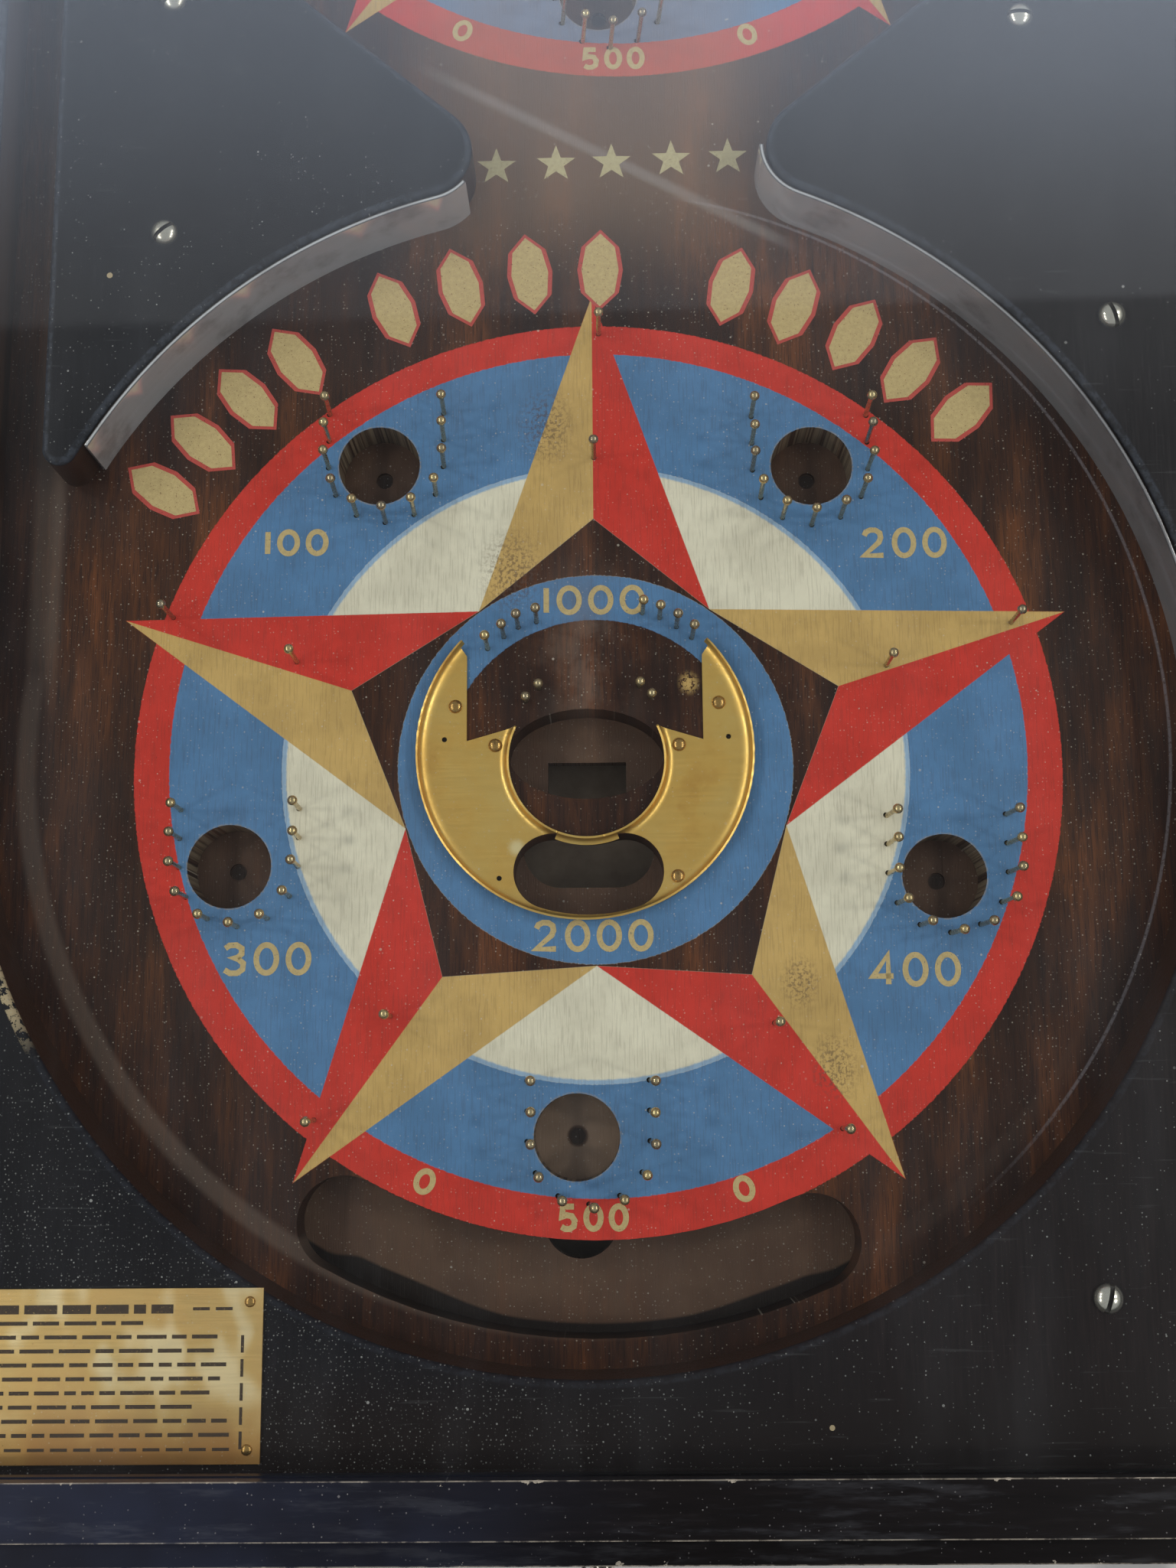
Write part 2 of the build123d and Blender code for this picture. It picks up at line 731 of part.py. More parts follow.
# Shutter board under the playfield, with its runners
def shutter():
    low = shutter_w - shutter_thickness
    board = block((-shutter_half, shutter_half), (shutter_front_v, shutter_back_v), (low, shutter_w))
    tongue_x = lever_pivot[0] + lever_arm
    tongue_v = lever_pivot[1] + shutter_stroke / 2
    board += block((tongue_x - tongue_half, tongue_x + tongue_half),
                   (tongue_v - tongue_half / 2, shutter_front_v), (low, shutter_w))
    cuts = []
    for star in stars:
        for pocket in pockets:
            x, v = shift(pocket, star)
            cuts.append(disc((x, v + shutter_stroke), drop_r, low, shutter_w))
            cuts.append(disc((x, v), dimple_r, shutter_w - dimple_depth, shutter_w))
        x, v = shift(kidney_centre, star)
        wide = Pos(x, v + kidney_drop_v, 0) * SlotOverall(*kidney_drop)
        neck = Pos(x + kidney_neck_place[0], v + kidney_neck_place[1], 0) * Rectangle(*kidney_neck)
        cuts.append(slab(wide + neck, low, shutter_w))
        x, v = shift(oval_centre, star)
        cuts.append(slab(Pos(x, v + oval_drop_v, 0) * SlotOverall(*oval_drop), low, shutter_w))
    drain_v = trough_centre[1] - trough_r + trough_width / 2 - drain_peep + drain_r
    cuts.append(disc((drain_x, drain_v), drain_r, low, shutter_w))
    pin_place = (tongue_x, tongue_v)
    cuts.append(disc(pin_place, pin_r, low, shutter_w))
    node["shutter_board"] = deck * (board - cuts)
    node["shutter_pin"] = deck * disc(pin_place, pin_r, lever_w - lever_thickness - pin_proud, shutter_w)
    runners = []
    for side in (-1, 1):
        inner = shutter_half + running_fit
        outer = shutter_half - runner_lip
        far = inner + runner_width
        foot = low - running_fit
        profile = [(inner, -board_thickness), (far, -board_thickness), (far, foot - runner_foot),
                   (outer, foot - runner_foot), (outer, foot), (inner, foot)]
        face = make_face(Polyline(*[(side * x, w) for x, w in profile], close=True))
        rail = extrude(Plane.XZ * face, amount=shutter_back_v - shutter_front_v, dir=(0, 1, 0))
        runners.append(Pos(0, shutter_front_v, 0) * rail)
    node["shutter_runners"] = deck * Compound(runners)


shutter()


# Tray that collects the dropped balls, its front guide and the balls
tray_half_width = (shooter_x - divider_thickness + inner_x) / 2
tray_tilt = atan2(tray_left_w - tray_right_w, 2 * tray_half_width)
tray_centre_x = (shooter_x - divider_thickness - inner_x) / 2
tray_mid_w = (tray_left_w + tray_right_w) / 2
tray_back_v = back_edge_v - gear_margin
guide_left_v = board_front_v + guide_left_inset
guide_right_v = board_front_v + guide_right_inset


def tray_w(x):
    return tray_mid_w - (x - tray_centre_x) * tan(tray_tilt)


def guide_v(x):
    share = (x + inner_x) / (shooter_x - divider_thickness + inner_x)
    return guide_left_v + share * (guide_right_v - guide_left_v)


def tray():
    left = -inner_x + seam
    right = shooter_x - divider_thickness
    profile = make_face(Polyline((left, tray_w(left)), (right, tray_w(right)),
                                 (right, tray_w(right) - tray_thickness),
                                 (left, tray_w(left) - tray_thickness), close=True))
    board = Pos(0, tray_front_v, 0) * extrude(Plane.XZ * profile, amount=tray_back_v - tray_front_v,
                                              dir=(0, 1, 0))
    post_hole = disc(lever_pivot, post_r, tray_w(lever_pivot[0]) - tray_thickness, tray_left_w)
    node["return_tray"] = deck * (board - post_hole)
    outline = Polyline((left, guide_v(left)), (right, guide_v(right)),
                       (right, guide_v(right) - guide_thickness),
                       (left, guide_v(left) - guide_thickness), close=True)
    floor = [(left, tray_w(left)), (right, tray_w(right)), (right, tray_w(right) + guide_height),
             (left, tray_w(left) + guide_height)]
    wedge = extrude(Plane.XZ * make_face(Polyline(*floor, close=True)), amount=back_y - front_y, both=True)
    tall = slab(make_face(outline), tray_right_w, tray_left_w + guide_height)
    node["ball_guide"] = deck * (tall & wedge)
    bearers = []
    first, last = tray_bearer_insets
    half = tray_bearer_width / 2
    above = Polyline((left, tray_w(left) - tray_thickness), (right, tray_w(right) - tray_thickness),
                     (right, 0), (left, 0), close=True)
    keep_out = deck * extrude(Plane.XZ * make_face(above), amount=2 * (back_y - front_y), both=True)
    for v in (tray_front_v + first, (tray_front_v + tray_back_v) / 2, tray_back_v - last):
        bearer = deck * block((left, right), (v - half, v + half), (-2 * deck_height, 0))
        bearers.append(bearer - keep_out - under_floor())
    node["tray_bearers"] = Compound(bearers)
    balls = []
    step = 2 * ball_r + hole_clearance
    first_x = lane_x - sleeve_r - ball_r - running_fit
    for count in range(ball_count):
        x = first_x - count * step
        v = entry_v if count == 0 else guide_v(x) + ball_r + hole_clearance
        w = tray_w(x) + ball_r / cos(tray_tilt) + hole_clearance
        balls.append(Pos(x, v, w) * Sphere(ball_r))
    node["special_ball"] = deck * balls.pop(special_ball_place)
    node["steel_balls"] = deck * Compound(balls)


tray()


# Shooter lane beside the playfield
def lane_pieces():
    left = shooter_x
    slab_width = inner_x - shooter_x - 2 * lane_side_fit
    low_y = (lane_front_v - entry_v) / cos(lane_rise)
    high_y = (lane_top_v - entry_v) / cos(lane_rise)
    floor = Pos(0, (low_y + high_y) / 2, -lane_slab / 2) * Box(slab_width, high_y - low_y, lane_slab)
    stop = deck * block((left, inner_x), (lane_top_v, lane_top_v + 4 * wall), (-4 * wall, wall))
    front = upright_box((-inner_x, inner_x), (front_y, front_y + wall + seam), (0, deck_height))
    node["shooter_lane"] = lane * floor - stop - front
    divider = deck * block((shooter_x - divider_thickness, shooter_x),
                           (lane_front_v, back_edge_v - gear_margin), (-2 * deck_height, -board_thickness))
    floor_w = tray_w(shooter_x)
    entry = deck * block((shooter_x - 2 * divider_thickness, shooter_x + divider_thickness),
                         (entry_v - entry_half, entry_v + entry_half), (floor_w, floor_w + entry_height))
    node["lane_divider"] = divider - under_floor() - entry
    rests = []
    first, last = lane_bearer_insets
    above = lane * block((-lane_width, lane_width), (front_y - back_y, back_y - front_y),
                         (-lane_slab, 2 * deck_height))
    for v in (entry_v + first, lane_top_v - last):
        post = deck * block((left + lane_side_fit, inner_x - lane_side_fit), (v, v + lane_bearer_width),
                            (-2 * deck_height, 0))
        rests.append(post - above - under_floor())
    node["lane_bearers"] = Compound(rests)


lane_pieces()


# Plunger, built along the lane frame with its axis at the ball's centre
def coil_spring(length, turns, coil_r, wire):
    # One wire along z: biarcs of half a turn, with a straight end of one wire's diameter on both sides
    climb = atan2((length - wire) / turns, 2 * pi * coil_r)
    end_rise = wire * sin(climb)
    height = length - wire - 2 * end_rise
    climb = atan2(height / turns, 2 * pi * coil_r)

    def point(angle):
        return Vector(coil_r * cos(angle), coil_r * sin(angle),
                      wire / 2 + end_rise + height * angle / (2 * pi * turns))

    def course(angle):
        return Vector(-sin(angle) * cos(climb), cos(angle) * cos(climb), sin(climb))

    angles = [pi * count for count in range(round(2 * turns) + 1)]
    edges = [Line(point(0) - course(0) * wire, point(0))]
    for low, high in zip(angles, angles[1:]):
        p, q, s, t = point(low), point(high), course(low), course(high)
        gap = q - p
        along = gap.dot(s + t)
        spread = 2 * (1 - s.dot(t))
        reach = (-along + sqrt(along ** 2 + spread * gap.dot(gap))) / spread
        middle = (p + q + (s - t) * reach) * 0.5
        edges.append(TangentArc(p, middle, tangent=s))
        edges.append(TangentArc(middle, q, tangent=(q - t * reach) - (p + s * reach)))
    edges.append(Line(point(angles[-1]), point(angles[-1]) + course(angles[-1]) * wire))
    path = Wire(edges)
    per_turn = 24
    points = [path @ (count / (per_turn * turns)) for count in range(round(per_turn * turns) + 1)]
    half = per_turn // 2
    least = min((a - b).length for place, a in enumerate(points) for b in points[place + half:])
    print("spring gap", round(least - wire, 3))
    return sweep(Plane(origin=path @ 0, z_dir=path % 0) * Circle(wire / 2), path=path)


def plunger():
    along = Pos(0, 0, ball_r) * Rot(-90, 0, 0)
    face_y = plunger_stroke - ball_r - 2 * running_fit
    rear_y = -sleeve_tail
    inner_end = wall_cross + housing_proud
    tube = disc((0, 0), housing_r, housing_tail - housing_cap, inner_end)
    bore = disc((0, 0), housing_bore_r, housing_tail, inner_end)
    rod_hole = disc((0, 0), rod_r + running_fit, housing_tail - housing_cap, housing_tail)
    cross_v, cross_w = plunger_deck(face_cross)
    flange = Pos(lane_x, front_y - origin_y - flange_thickness / 2, deck_z(cross_v, cross_w)) * (
        Rot(90, 0, 0) * Cylinder(flange_r, flange_thickness))
    flange -= lane * along * disc((0, 0), housing_r - flange_overlap, housing_tail, inner_end)
    node["plunger_housing"] = lane * along * (tube - bore - rod_hole) + flange
    collar = disc((0, 0), sleeve_r, rear_y - collar_length, rear_y)
    rod = disc((0, 0), rod_r, knob_back - rod_seat, rear_y + rod_seat)
    node["plunger_rod"] = lane * along * (rod + collar)
    sleeve = disc((0, 0), sleeve_r, rear_y, face_y) - disc((0, 0), rod_r, rear_y, rear_y + rod_seat)
    node["plunger_tip"] = lane * along * chamfer(sleeve.edges().sort_by(Axis.Z)[-1], tip_chamfer)
    outline = [(knob_r * share, knob_tip_y + knob_length * rise) for share, rise in knob_outline]
    knob = turned((0, knob_tip_y), (knob_end_r, knob_tip_y), *outline, (0, knob_back))
    knob -= disc((0, 0), rod_r, knob_back - rod_seat, knob_back)
    node["plunger_knob"] = lane * along * knob
    washer = disc((0, 0), washer_r, knob_back, knob_back + knob_gap - running_fit)
    washer -= disc((0, 0), rod_r, knob_back, knob_back + knob_gap)
    node["plunger_washer"] = lane * along * washer
    length = rear_y - collar_length - housing_tail
    spring = coil_spring(length - 2 * hole_clearance, spring_turns, spring_coil_r, spring_wire)
    node["plunger_spring"] = lane * along * Pos(0, 0, housing_tail + hole_clearance) * spring


plunger()


# Clearing button, built along the deck with its axis at the button's height
def button():
    along = deck * Pos(0, 0, button_w) * Rot(-90, 0, 0)
    face_v = (front_y + button_w * sin(turn)) / cos(turn)
    wall_v = face_v + wall
    flange_v = face_v - bushing_flange
    head_v = flange_v - button_stem
    pin_v = lever_pivot[1] - shutter_stroke * button_arm / lever_arm / 2
    bushing = disc((0, 0), bushing_r, flange_v, wall_v)
    flange = Pos(0, front_y - origin_y - bushing_flange / 2, deck_z(face_v, button_w)) * (
        Rot(90, 0, 0) * Cylinder(bushing_flange_r, bushing_flange))
    flange -= along * disc((0, 0), bushing_r - flange_overlap, flange_v - wall, wall_v)
    bore = disc((0, 0), button_rod_r + running_fit, flange_v - wall, wall_v)
    node["button_bushing"] = along * (bushing - bore) + flange
    rod = disc((0, 0), button_rod_r, head_v - button_head_length / 2, pin_v + 2 * pin_r)
    rod += disc((0, 0), collar_r, wall_v + running_fit, wall_v + running_fit + collar_length)
    hole = Pos(0, pin_v, 0) * Cylinder(pin_r, 2 * deck_height)
    node["button_rod"] = along * rod - deck * hole
    node["button_pin"] = deck * disc((0, pin_v), pin_r, button_w - button_rod_r, lever_w + pin_proud)
    head_low = head_v - button_head_length
    outline = [(button_head_r * share, head_low + button_crown * rise) for share, rise in button_outline]
    head = turned((0, head_low), *outline, (button_head_r, head_v), (0, head_v))
    head -= disc((0, 0), button_rod_r, head_v - button_head_length / 2, head_v)
    node["button_head"] = along * head
    spring = coil_spring(button_stem - 2 * hole_clearance, button_turns, button_coil_r, button_wire)
    node["button_spring"] = along * Pos(0, 0, head_v + hole_clearance) * spring


def lever():
    swing = degrees(atan(shutter_stroke / 2 / lever_arm))
    low = lever_w - lever_thickness
    body = make_hull([*(Pos(lever_arm, 0) * Circle(lever_eye_r)).edges(), *Circle(lever_eye_r).edges()])
    body += make_hull([*(Pos(-button_arm, 0) * Circle(lever_eye_r)).edges(), *Circle(lever_eye_r).edges()])
    plate = slab(body, low, lever_w) - disc((0, 0), post_r + bearing_fit, low, lever_w)
    slot_r = pin_r + lever_slot_fit
    for arm in (lever_arm, -button_arm):
        reach = abs(arm) * (1 / cos(radians(swing)) - 1)
        slot = SlotCenterToCenter(reach + 2 * lever_slot_fit, 2 * slot_r)
        middle = arm + (1 if arm > 0 else -1) * reach / 2
        plate -= slab(Pos(middle, 0, 0) * slot, low, lever_w)
    node["clear_lever"] = deck * Pos(*lever_pivot, 0) * Rot(0, 0, swing) * plate
    tray_top = tray_w(lever_pivot[0] - post_head_r)
    spacer = disc((0, 0), post_head_r, tray_top, low - bearing_fit)
    spacer -= disc((0, 0), post_r, tray_top, low - bearing_fit)
    node["lever_spacer"] = deck * Pos(*lever_pivot, 0) * spacer
    post = disc((0, 0), post_r, tray_top - tray_thickness, lever_w + bearing_fit)
    post += disc((0, 0), post_head_r, lever_w + bearing_fit, lever_w + bearing_fit + post_head)
    slot_width = screw_slot[0]
    post -= block((-post_head_r, post_head_r), (-slot_width / 2, slot_width / 2),
                  (lever_w + bearing_fit + post_head / 2, lever_w + bearing_fit + post_head))
    node["lever_post"] = deck * Pos(*lever_pivot, 0) * post


button()
lever()


# Glass frame, its hinges and the feet
def glass_frame():
    outer_x = cabinet_width / 2 - rail_setback
    inner = outer_x - rail_width
    low_v = front_face_v + rail_setback
    high_v = back_face_v - rail_setback
    top = wall_top + rail_height
    low = wall_top + groove_w
    groove = block((-inner - groove_depth, inner + groove_depth),
                   (low_v + rail_width - groove_depth, high_v - rail_width + groove_depth),
                   (low, low + glass_thickness + groove_fit))
    rails = {
        "frame_front_rail": block((-outer_x, outer_x), (low_v, low_v + rail_width), (wall_top, top)),
        "frame_back_rail": block((-outer_x, outer_x), (high_v - rail_width, high_v), (wall_top, top)),
        "frame_left_rail": block((-outer_x, -inner), (low_v + rail_width, high_v - rail_width),
                                 (wall_top, top)),
        "frame_right_rail": block((inner, outer_x), (low_v + rail_width, high_v - rail_width),
                                  (wall_top, top)),
    }
    for name, rail in rails.items():
        node[name] = deck * (rail - groove)
    reach = groove_depth - running_fit
    node["glass_pane"] = deck * block((-inner - reach, inner + reach),
                                      (low_v + rail_width - reach, high_v - rail_width + reach),
                                      (low, low + glass_thickness))


def hinges():
    rail_v = back_face_v - rail_setback
    axis_v = rail_v + hinge_knuckle_r + running_fit
    axis_w = wall_top + hinge_knuckle_r + hole_clearance
    part = hinge_length / hinge_parts
    fixed = []
    swung = []
    pins = []
    for side in (-1, 1):
        start = side * (cabinet_width / 2 - hinge_inset) - hinge_length / 2
        leaf = block((start, start + hinge_length), (axis_v - hinge_knuckle_r / 2, back_face_v),
                     (wall_top, wall_top + hinge_leaf))
        flap = block((start, start + hinge_length), (rail_v, rail_v + hinge_leaf),
                     (wall_top + 2 * hinge_leaf, wall_top + rail_height))
        for count in range(hinge_parts):
            low = start + count * part + running_fit / 2
            high = low + part - running_fit
            knuckle = across(hinge_knuckle_r, low, high, axis_v, axis_w)
            room = across(hinge_knuckle_r + running_fit, low - running_fit, high + running_fit,
                          axis_v, axis_w)
            if count % 2 == 0:
                leaf += knuckle
                flap -= room
            else:
                flap += knuckle
                leaf -= room
        pin = across(hinge_pin_r, start, start + hinge_length, axis_v, axis_w)
        fixed.append(leaf - pin)
        swung.append(flap - across(hinge_pin_r + bearing_fit, start, start + hinge_length, axis_v, axis_w))
        pins.append(pin)
    node["hinge_cabinet_leaves"] = deck * Compound(fixed)
    node["hinge_frame_leaves"] = deck * Compound(swung)
    node["hinge_pins"] = deck * Compound(pins)
    print("hinge axis", world(0, axis_v, axis_w))


def across(r, x0, x1, v, w):
    return Pos((x0 + x1) / 2, v, w) * Rot(0, 90, 0) * Cylinder(r, x1 - x0)


def world(x, v, w):
    return (round(x, 3), round(deck_y(v, w) - origin_y, 3), round(deck_z(v, w), 3))


def feet():
    pads = []
    screws = []
    seat = foot_height - foot_recess
    for place in foot_places():
        pad = turned((0, 0), (foot_r - foot_taper, 0), (foot_r, foot_height), (0, foot_height))
        pad -= disc((0, 0), screw_shank_r, 0, foot_height)
        pad -= disc((0, 0), screw_head_r + running_fit, 0, seat)
        pads.append(Pos(*place, 0) * pad)
        head = disc((0, 0), screw_head_r, seat - screw_head_height, seat)
        shank = disc((0, 0), screw_shank_r, seat, bottom_top)
        screws.append(Pos(*place, 0) * (head + shank))
    node["rubber_feet"] = Compound(pads)
    node["foot_screws"] = Compound(screws)


glass_frame()
hinges()
feet()


# Cleats under the playfield board
def cleats():
    side = cleat
    foot = -board_thickness - side
    low_v = front_v(-board_thickness) + seam
    high_v = back_v(foot) - seam
    left = block((-inner_x, -inner_x + side), (low_v, high_v), (foot, -board_thickness))
    back = block((-inner_x + side, inner_x), (high_v - side, high_v), (foot, -board_thickness))
    right = block((inner_x - side, inner_x), (lane_top_v + side, high_v - side), (foot, -board_thickness))
    node["deck_cleats"] = deck * Compound([left, back, right])


cleats()

print("origin y", round(origin_y, 4), "lane rise", round(degrees(lane_rise), 4))
print("plunger axis at", world(lane_x, *plunger_deck(0)))
print("plunger housing tail", world(lane_x, *plunger_deck(housing_tail)))
print("plunger spring end", world(lane_x, *plunger_deck(-sleeve_tail - collar_length)))
print("button axis at", world(0, front_face_v, button_w))
print("lever pivot", world(*lever_pivot, lever_w))
print("lever swing", round(2 * degrees(atan(shutter_stroke / 2 / lever_arm)), 4))

os.makedirs("parts", exist_ok=True)
for name, shape in node.items():
    export_step(shape, f"parts/{name}.step")
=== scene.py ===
import json
import random
from math import cos, hypot, pi, radians, sin, sqrt

import bmesh
import bpy
from mathutils import Matrix, Quaternion, Vector
from mathutils.geometry import delaunay_2d_cdt


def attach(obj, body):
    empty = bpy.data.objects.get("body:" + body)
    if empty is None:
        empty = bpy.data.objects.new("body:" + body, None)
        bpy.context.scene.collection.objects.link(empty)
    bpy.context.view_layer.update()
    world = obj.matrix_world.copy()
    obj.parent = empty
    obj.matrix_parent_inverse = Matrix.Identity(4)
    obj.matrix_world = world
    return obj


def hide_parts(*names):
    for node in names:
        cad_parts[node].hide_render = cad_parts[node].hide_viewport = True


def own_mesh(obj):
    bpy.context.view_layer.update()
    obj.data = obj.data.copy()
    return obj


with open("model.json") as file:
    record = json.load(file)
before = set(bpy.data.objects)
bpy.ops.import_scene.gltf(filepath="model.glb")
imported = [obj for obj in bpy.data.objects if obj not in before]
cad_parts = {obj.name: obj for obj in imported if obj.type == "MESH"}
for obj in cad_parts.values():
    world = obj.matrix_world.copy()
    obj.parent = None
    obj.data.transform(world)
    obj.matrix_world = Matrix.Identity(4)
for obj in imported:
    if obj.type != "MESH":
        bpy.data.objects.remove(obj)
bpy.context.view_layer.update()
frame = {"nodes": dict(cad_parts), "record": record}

nodes = frame["nodes"]
scene = bpy.context.scene

# Deck frame: x to the right, v up the playfield, w square out of it, from the lower star's centre, in mm
slope = radians(4.0)
deckOrigin = Vector((0.0, -136.4012, 96.5))
deckTurn = Matrix.Rotation(slope, 4, "X")
deckMatrix = Matrix.Scale(0.001, 4) @ Matrix.Translation(deckOrigin) @ deckTurn
deckInverse = deckMatrix.inverted()
upperStar = (8.75, 348.0)


def deckPoint(x, v, w=0.0):
    return deckMatrix @ Vector((x, v, w))


def newObject(name, data):
    made = bpy.data.objects.new(name, data)
    scene.collection.objects.link(made)
    return made


# Camera
camera = {"place": (2.74, -91.85, 496.25), "turn": (9.906, 0.597, -0.470), "focal": 2299.4,
          "longSide": 2049.0, "sensor": 36.0}


def makeCamera():
    data = bpy.data.cameras.new("camera")
    data.sensor_width = camera["sensor"]
    data.lens = camera["sensor"] * camera["focal"] / camera["longSide"]
    data.clip_start = 0.01
    turn = Vector(camera["turn"])
    around = Quaternion(turn.normalized(), radians(turn.length)).to_matrix().to_4x4()
    scene.camera = newObject("camera", data)
    scene.camera.matrix_world = Matrix.Translation(deckPoint(*camera["place"])) @ deckTurn @ around


makeCamera()
print("camera made")


# Node tools
def tint(red, green, blue):
    # A colour seen on screen, 0 to 255, as the light values that the shaders take
    parts = [part / 255 for part in (red, green, blue)]
    return (*[part / 12.92 if part <= 0.04045 else ((part + 0.055) / 1.055) ** 2.4 for part in parts], 1.0)


class Graph:
    # A node tree with short calls that add a node and give back one of its outputs
    def __init__(self, tree):
        self.tree = tree

    def fit(self, made, inputs):
        for name, value in inputs.items():
            if isinstance(value, bpy.types.NodeSocket):
                self.tree.links.new(value, made.inputs[name])
            else:
                made.inputs[name].default_value = value

    def add(self, kind, inputs, output=0, **settings):
        made = self.tree.nodes.new("ShaderNode" + kind)
        for name, value in settings.items():
            setattr(made, name, value)
        self.fit(made, inputs)
        return made.outputs[output]

    def group(self, tree, inputs):
        made = self.tree.nodes.new("ShaderNodeGroup")
        made.node_tree = tree
        self.fit(made, inputs)
        return made.outputs

    def calc(self, operation, *values):
        return self.add("Math", dict(enumerate(values)), operation=operation)

    def chain(self, operation, values):
        result = values[0]
        for value in values[1:]:
            result = self.calc(operation, result, value)
        return result

    def times(self, *values):
        return self.chain("MULTIPLY", values)

    def plus(self, *values):
        return self.chain("ADD", values)

    def minus(self, *values):
        return self.chain("SUBTRACT", values)

    def most(self, *values):
        return self.chain("MAXIMUM", values)

    def least(self, *values):
        return self.chain("MINIMUM", values)

    def step(self, value, low, high, start=0.0, end=1.0):
        inputs = {"Value": value, "From Min": low, "From Max": high, "To Min": start, "To Max": end}
        return self.add("MapRange", inputs, interpolation_type="SMOOTHSTEP")

    def near(self, value, inner, outer):
        # 1 where a value is close to 0, gone at the outer limit on either side
        return self.step(self.calc("ABSOLUTE", value), inner, outer, 1.0, 0.0)

    def blend(self, factor, under, over, kind="MIX"):
        return self.add("Mix", {0: factor, 6: under, 7: over}, 2, data_type="RGBA", blend_type=kind)

    def coat(self, under, over, mask, share=1.0):
        # One colour laid over another where the mask is, as thick as the share
        return self.blend(self.times(mask, share) if share < 1.0 else mask, under, over)

    def noise(self, vector, scale, detail=2.0, roughness=0.5, flat=False):
        inputs = {"Vector": vector, "Scale": scale, "Detail": detail, "Roughness": roughness}
        return self.add("TexNoise", inputs, noise_dimensions="2D" if flat else "3D")

    def grain(self, vector, scale, detail=3.0, roughness=0.6, flat=False):
        # Noise drawn out along the sides whose scale is small
        drawn = self.add("Mapping", {"Vector": vector, "Scale": scale})
        return self.noise(drawn, 1.0, detail, roughness, flat)

    def ramp(self, value, stops):
        made = self.tree.nodes.new("ShaderNodeValToRGB")
        band = made.color_ramp
        while len(band.elements) < len(stops):
            band.elements.new(0.5)
        for element, (position, colour) in zip(band.elements, stops):
            element.position = position
            element.color = colour
        self.tree.links.new(value, made.inputs[0])
        return made.outputs[0]

    def deck(self):
        # Deck coordinates in mm of a piece at rest
        place = self.add("TexCoord", {}, "Object")
        back = Matrix.Rotation(-slope, 3, "X") @ -deckOrigin
        inputs = {"Vector": place, "Scale": (1000,) * 3, "Rotation": (-slope, 0, 0), "Location": back}
        return self.add("Mapping", inputs)

    def parts(self, vector):
        return tuple(self.add("SeparateXYZ", {"Vector": vector}).node.outputs)

    def away(self, place, centre, squeeze=1.0):
        # Distance on the deck from a centre
        moved = self.add("VectorMath", {0: place, 1: (*centre, 0.0)}, operation="SUBTRACT")
        flat = self.add("VectorMath", {0: moved, 1: (1.0, squeeze, 0.0)}, operation="MULTIPLY")
        return self.add("VectorMath", {0: flat}, "Value", operation="LENGTH")

    def nearest(self, place, centres):
        return self.least(*[self.away(place, centre) for centre in centres])

    def spot(self, place, centre, reach, squeeze=1.0):
        # 1 at a place on the deck, falling to 0 at its reach
        return self.step(self.away(place, centre, squeeze), reach * 0.2, reach, 1.0, 0.0)

    def bump(self, height, strength, distance):
        return self.add("Bump", {"Height": height, "Strength": strength, "Distance": distance})

    def surface(self, shader, output="Material Output"):
        self.tree.links.new(shader, self.tree.nodes[output].inputs["Surface"])

    def finish(self, inputs):
        self.surface(self.add("BsdfPrincipled", inputs))


def newMaterial(name):
    material = bpy.data.materials.new(name)
    material.use_nodes = True
    for old in list(material.node_tree.nodes):
        if old.type != "OUTPUT_MATERIAL":
            material.node_tree.nodes.remove(old)
    return material, Graph(material.node_tree)


def newGroup(name, inputs, outputs):
    tree = bpy.data.node_groups.new(name, "ShaderNodeTree")
    for side, sockets in (("INPUT", inputs), ("OUTPUT", outputs)):
        for label, kind in sockets.items():
            tree.interface.new_socket(label, in_out=side, socket_type="NodeSocket" + kind)
    return tree, tree.nodes.new("NodeGroupInput").outputs, tree.nodes.new("NodeGroupOutput").inputs


# Dust: pale specks of three sizes and a thin film
dustSpecks = [{"cell": 4.2, "size": 0.06, "share": 0.4, "bright": 1.0},
              {"cell": 1.1, "size": 0.2, "share": 0.35, "bright": 0.7},
              {"cell": 17.0, "size": 0.025, "share": 0.6, "bright": 1.0}]


def makeDust():
    tree, inputs, outputs = newGroup("dust", {"Place": "Vector", "Amount": "Float"},
                                     {"Mask": "Float", "Film": "Float"})
    graph = Graph(tree)
    place = inputs["Place"]
    dots = []
    for facts in dustSpecks:
        near = graph.add("TexVoronoi", {"Vector": place, "Scale": 1 / facts["cell"]}, "Distance",
                         voronoi_dimensions="2D")
        chance, size, bright = graph.add("SeparateColor", {"Color": near.node.outputs["Color"]}).node.outputs
        chosen = graph.calc("LESS_THAN", chance, graph.times(inputs["Amount"], facts["share"]))
        dot = graph.calc("LESS_THAN", near, graph.times(size, facts["size"]))
        bright = graph.step(bright, 0.0, 1.0, 0.25 * facts["bright"], facts["bright"])
        dots.append(graph.times(dot, chosen, bright))
    tree.links.new(graph.most(*dots), outputs["Mask"])
    film = graph.noise(place, 0.03, 3.0, 0.62, True)
    tree.links.new(graph.step(film, 0.35, 0.75), outputs["Film"])
    return tree


dustGroup = makeDust()


def dusted(graph, place, colour, amount, specks, film=None):
    # A colour under dust: specks and film each give their own colour and share
    dust = graph.group(dustGroup, {"Place": place, "Amount": amount})
    if film:
        colour = graph.coat(colour, film[0], dust["Film"], film[1])
    return graph.coat(colour, specks[0], dust["Mask"], specks[1])


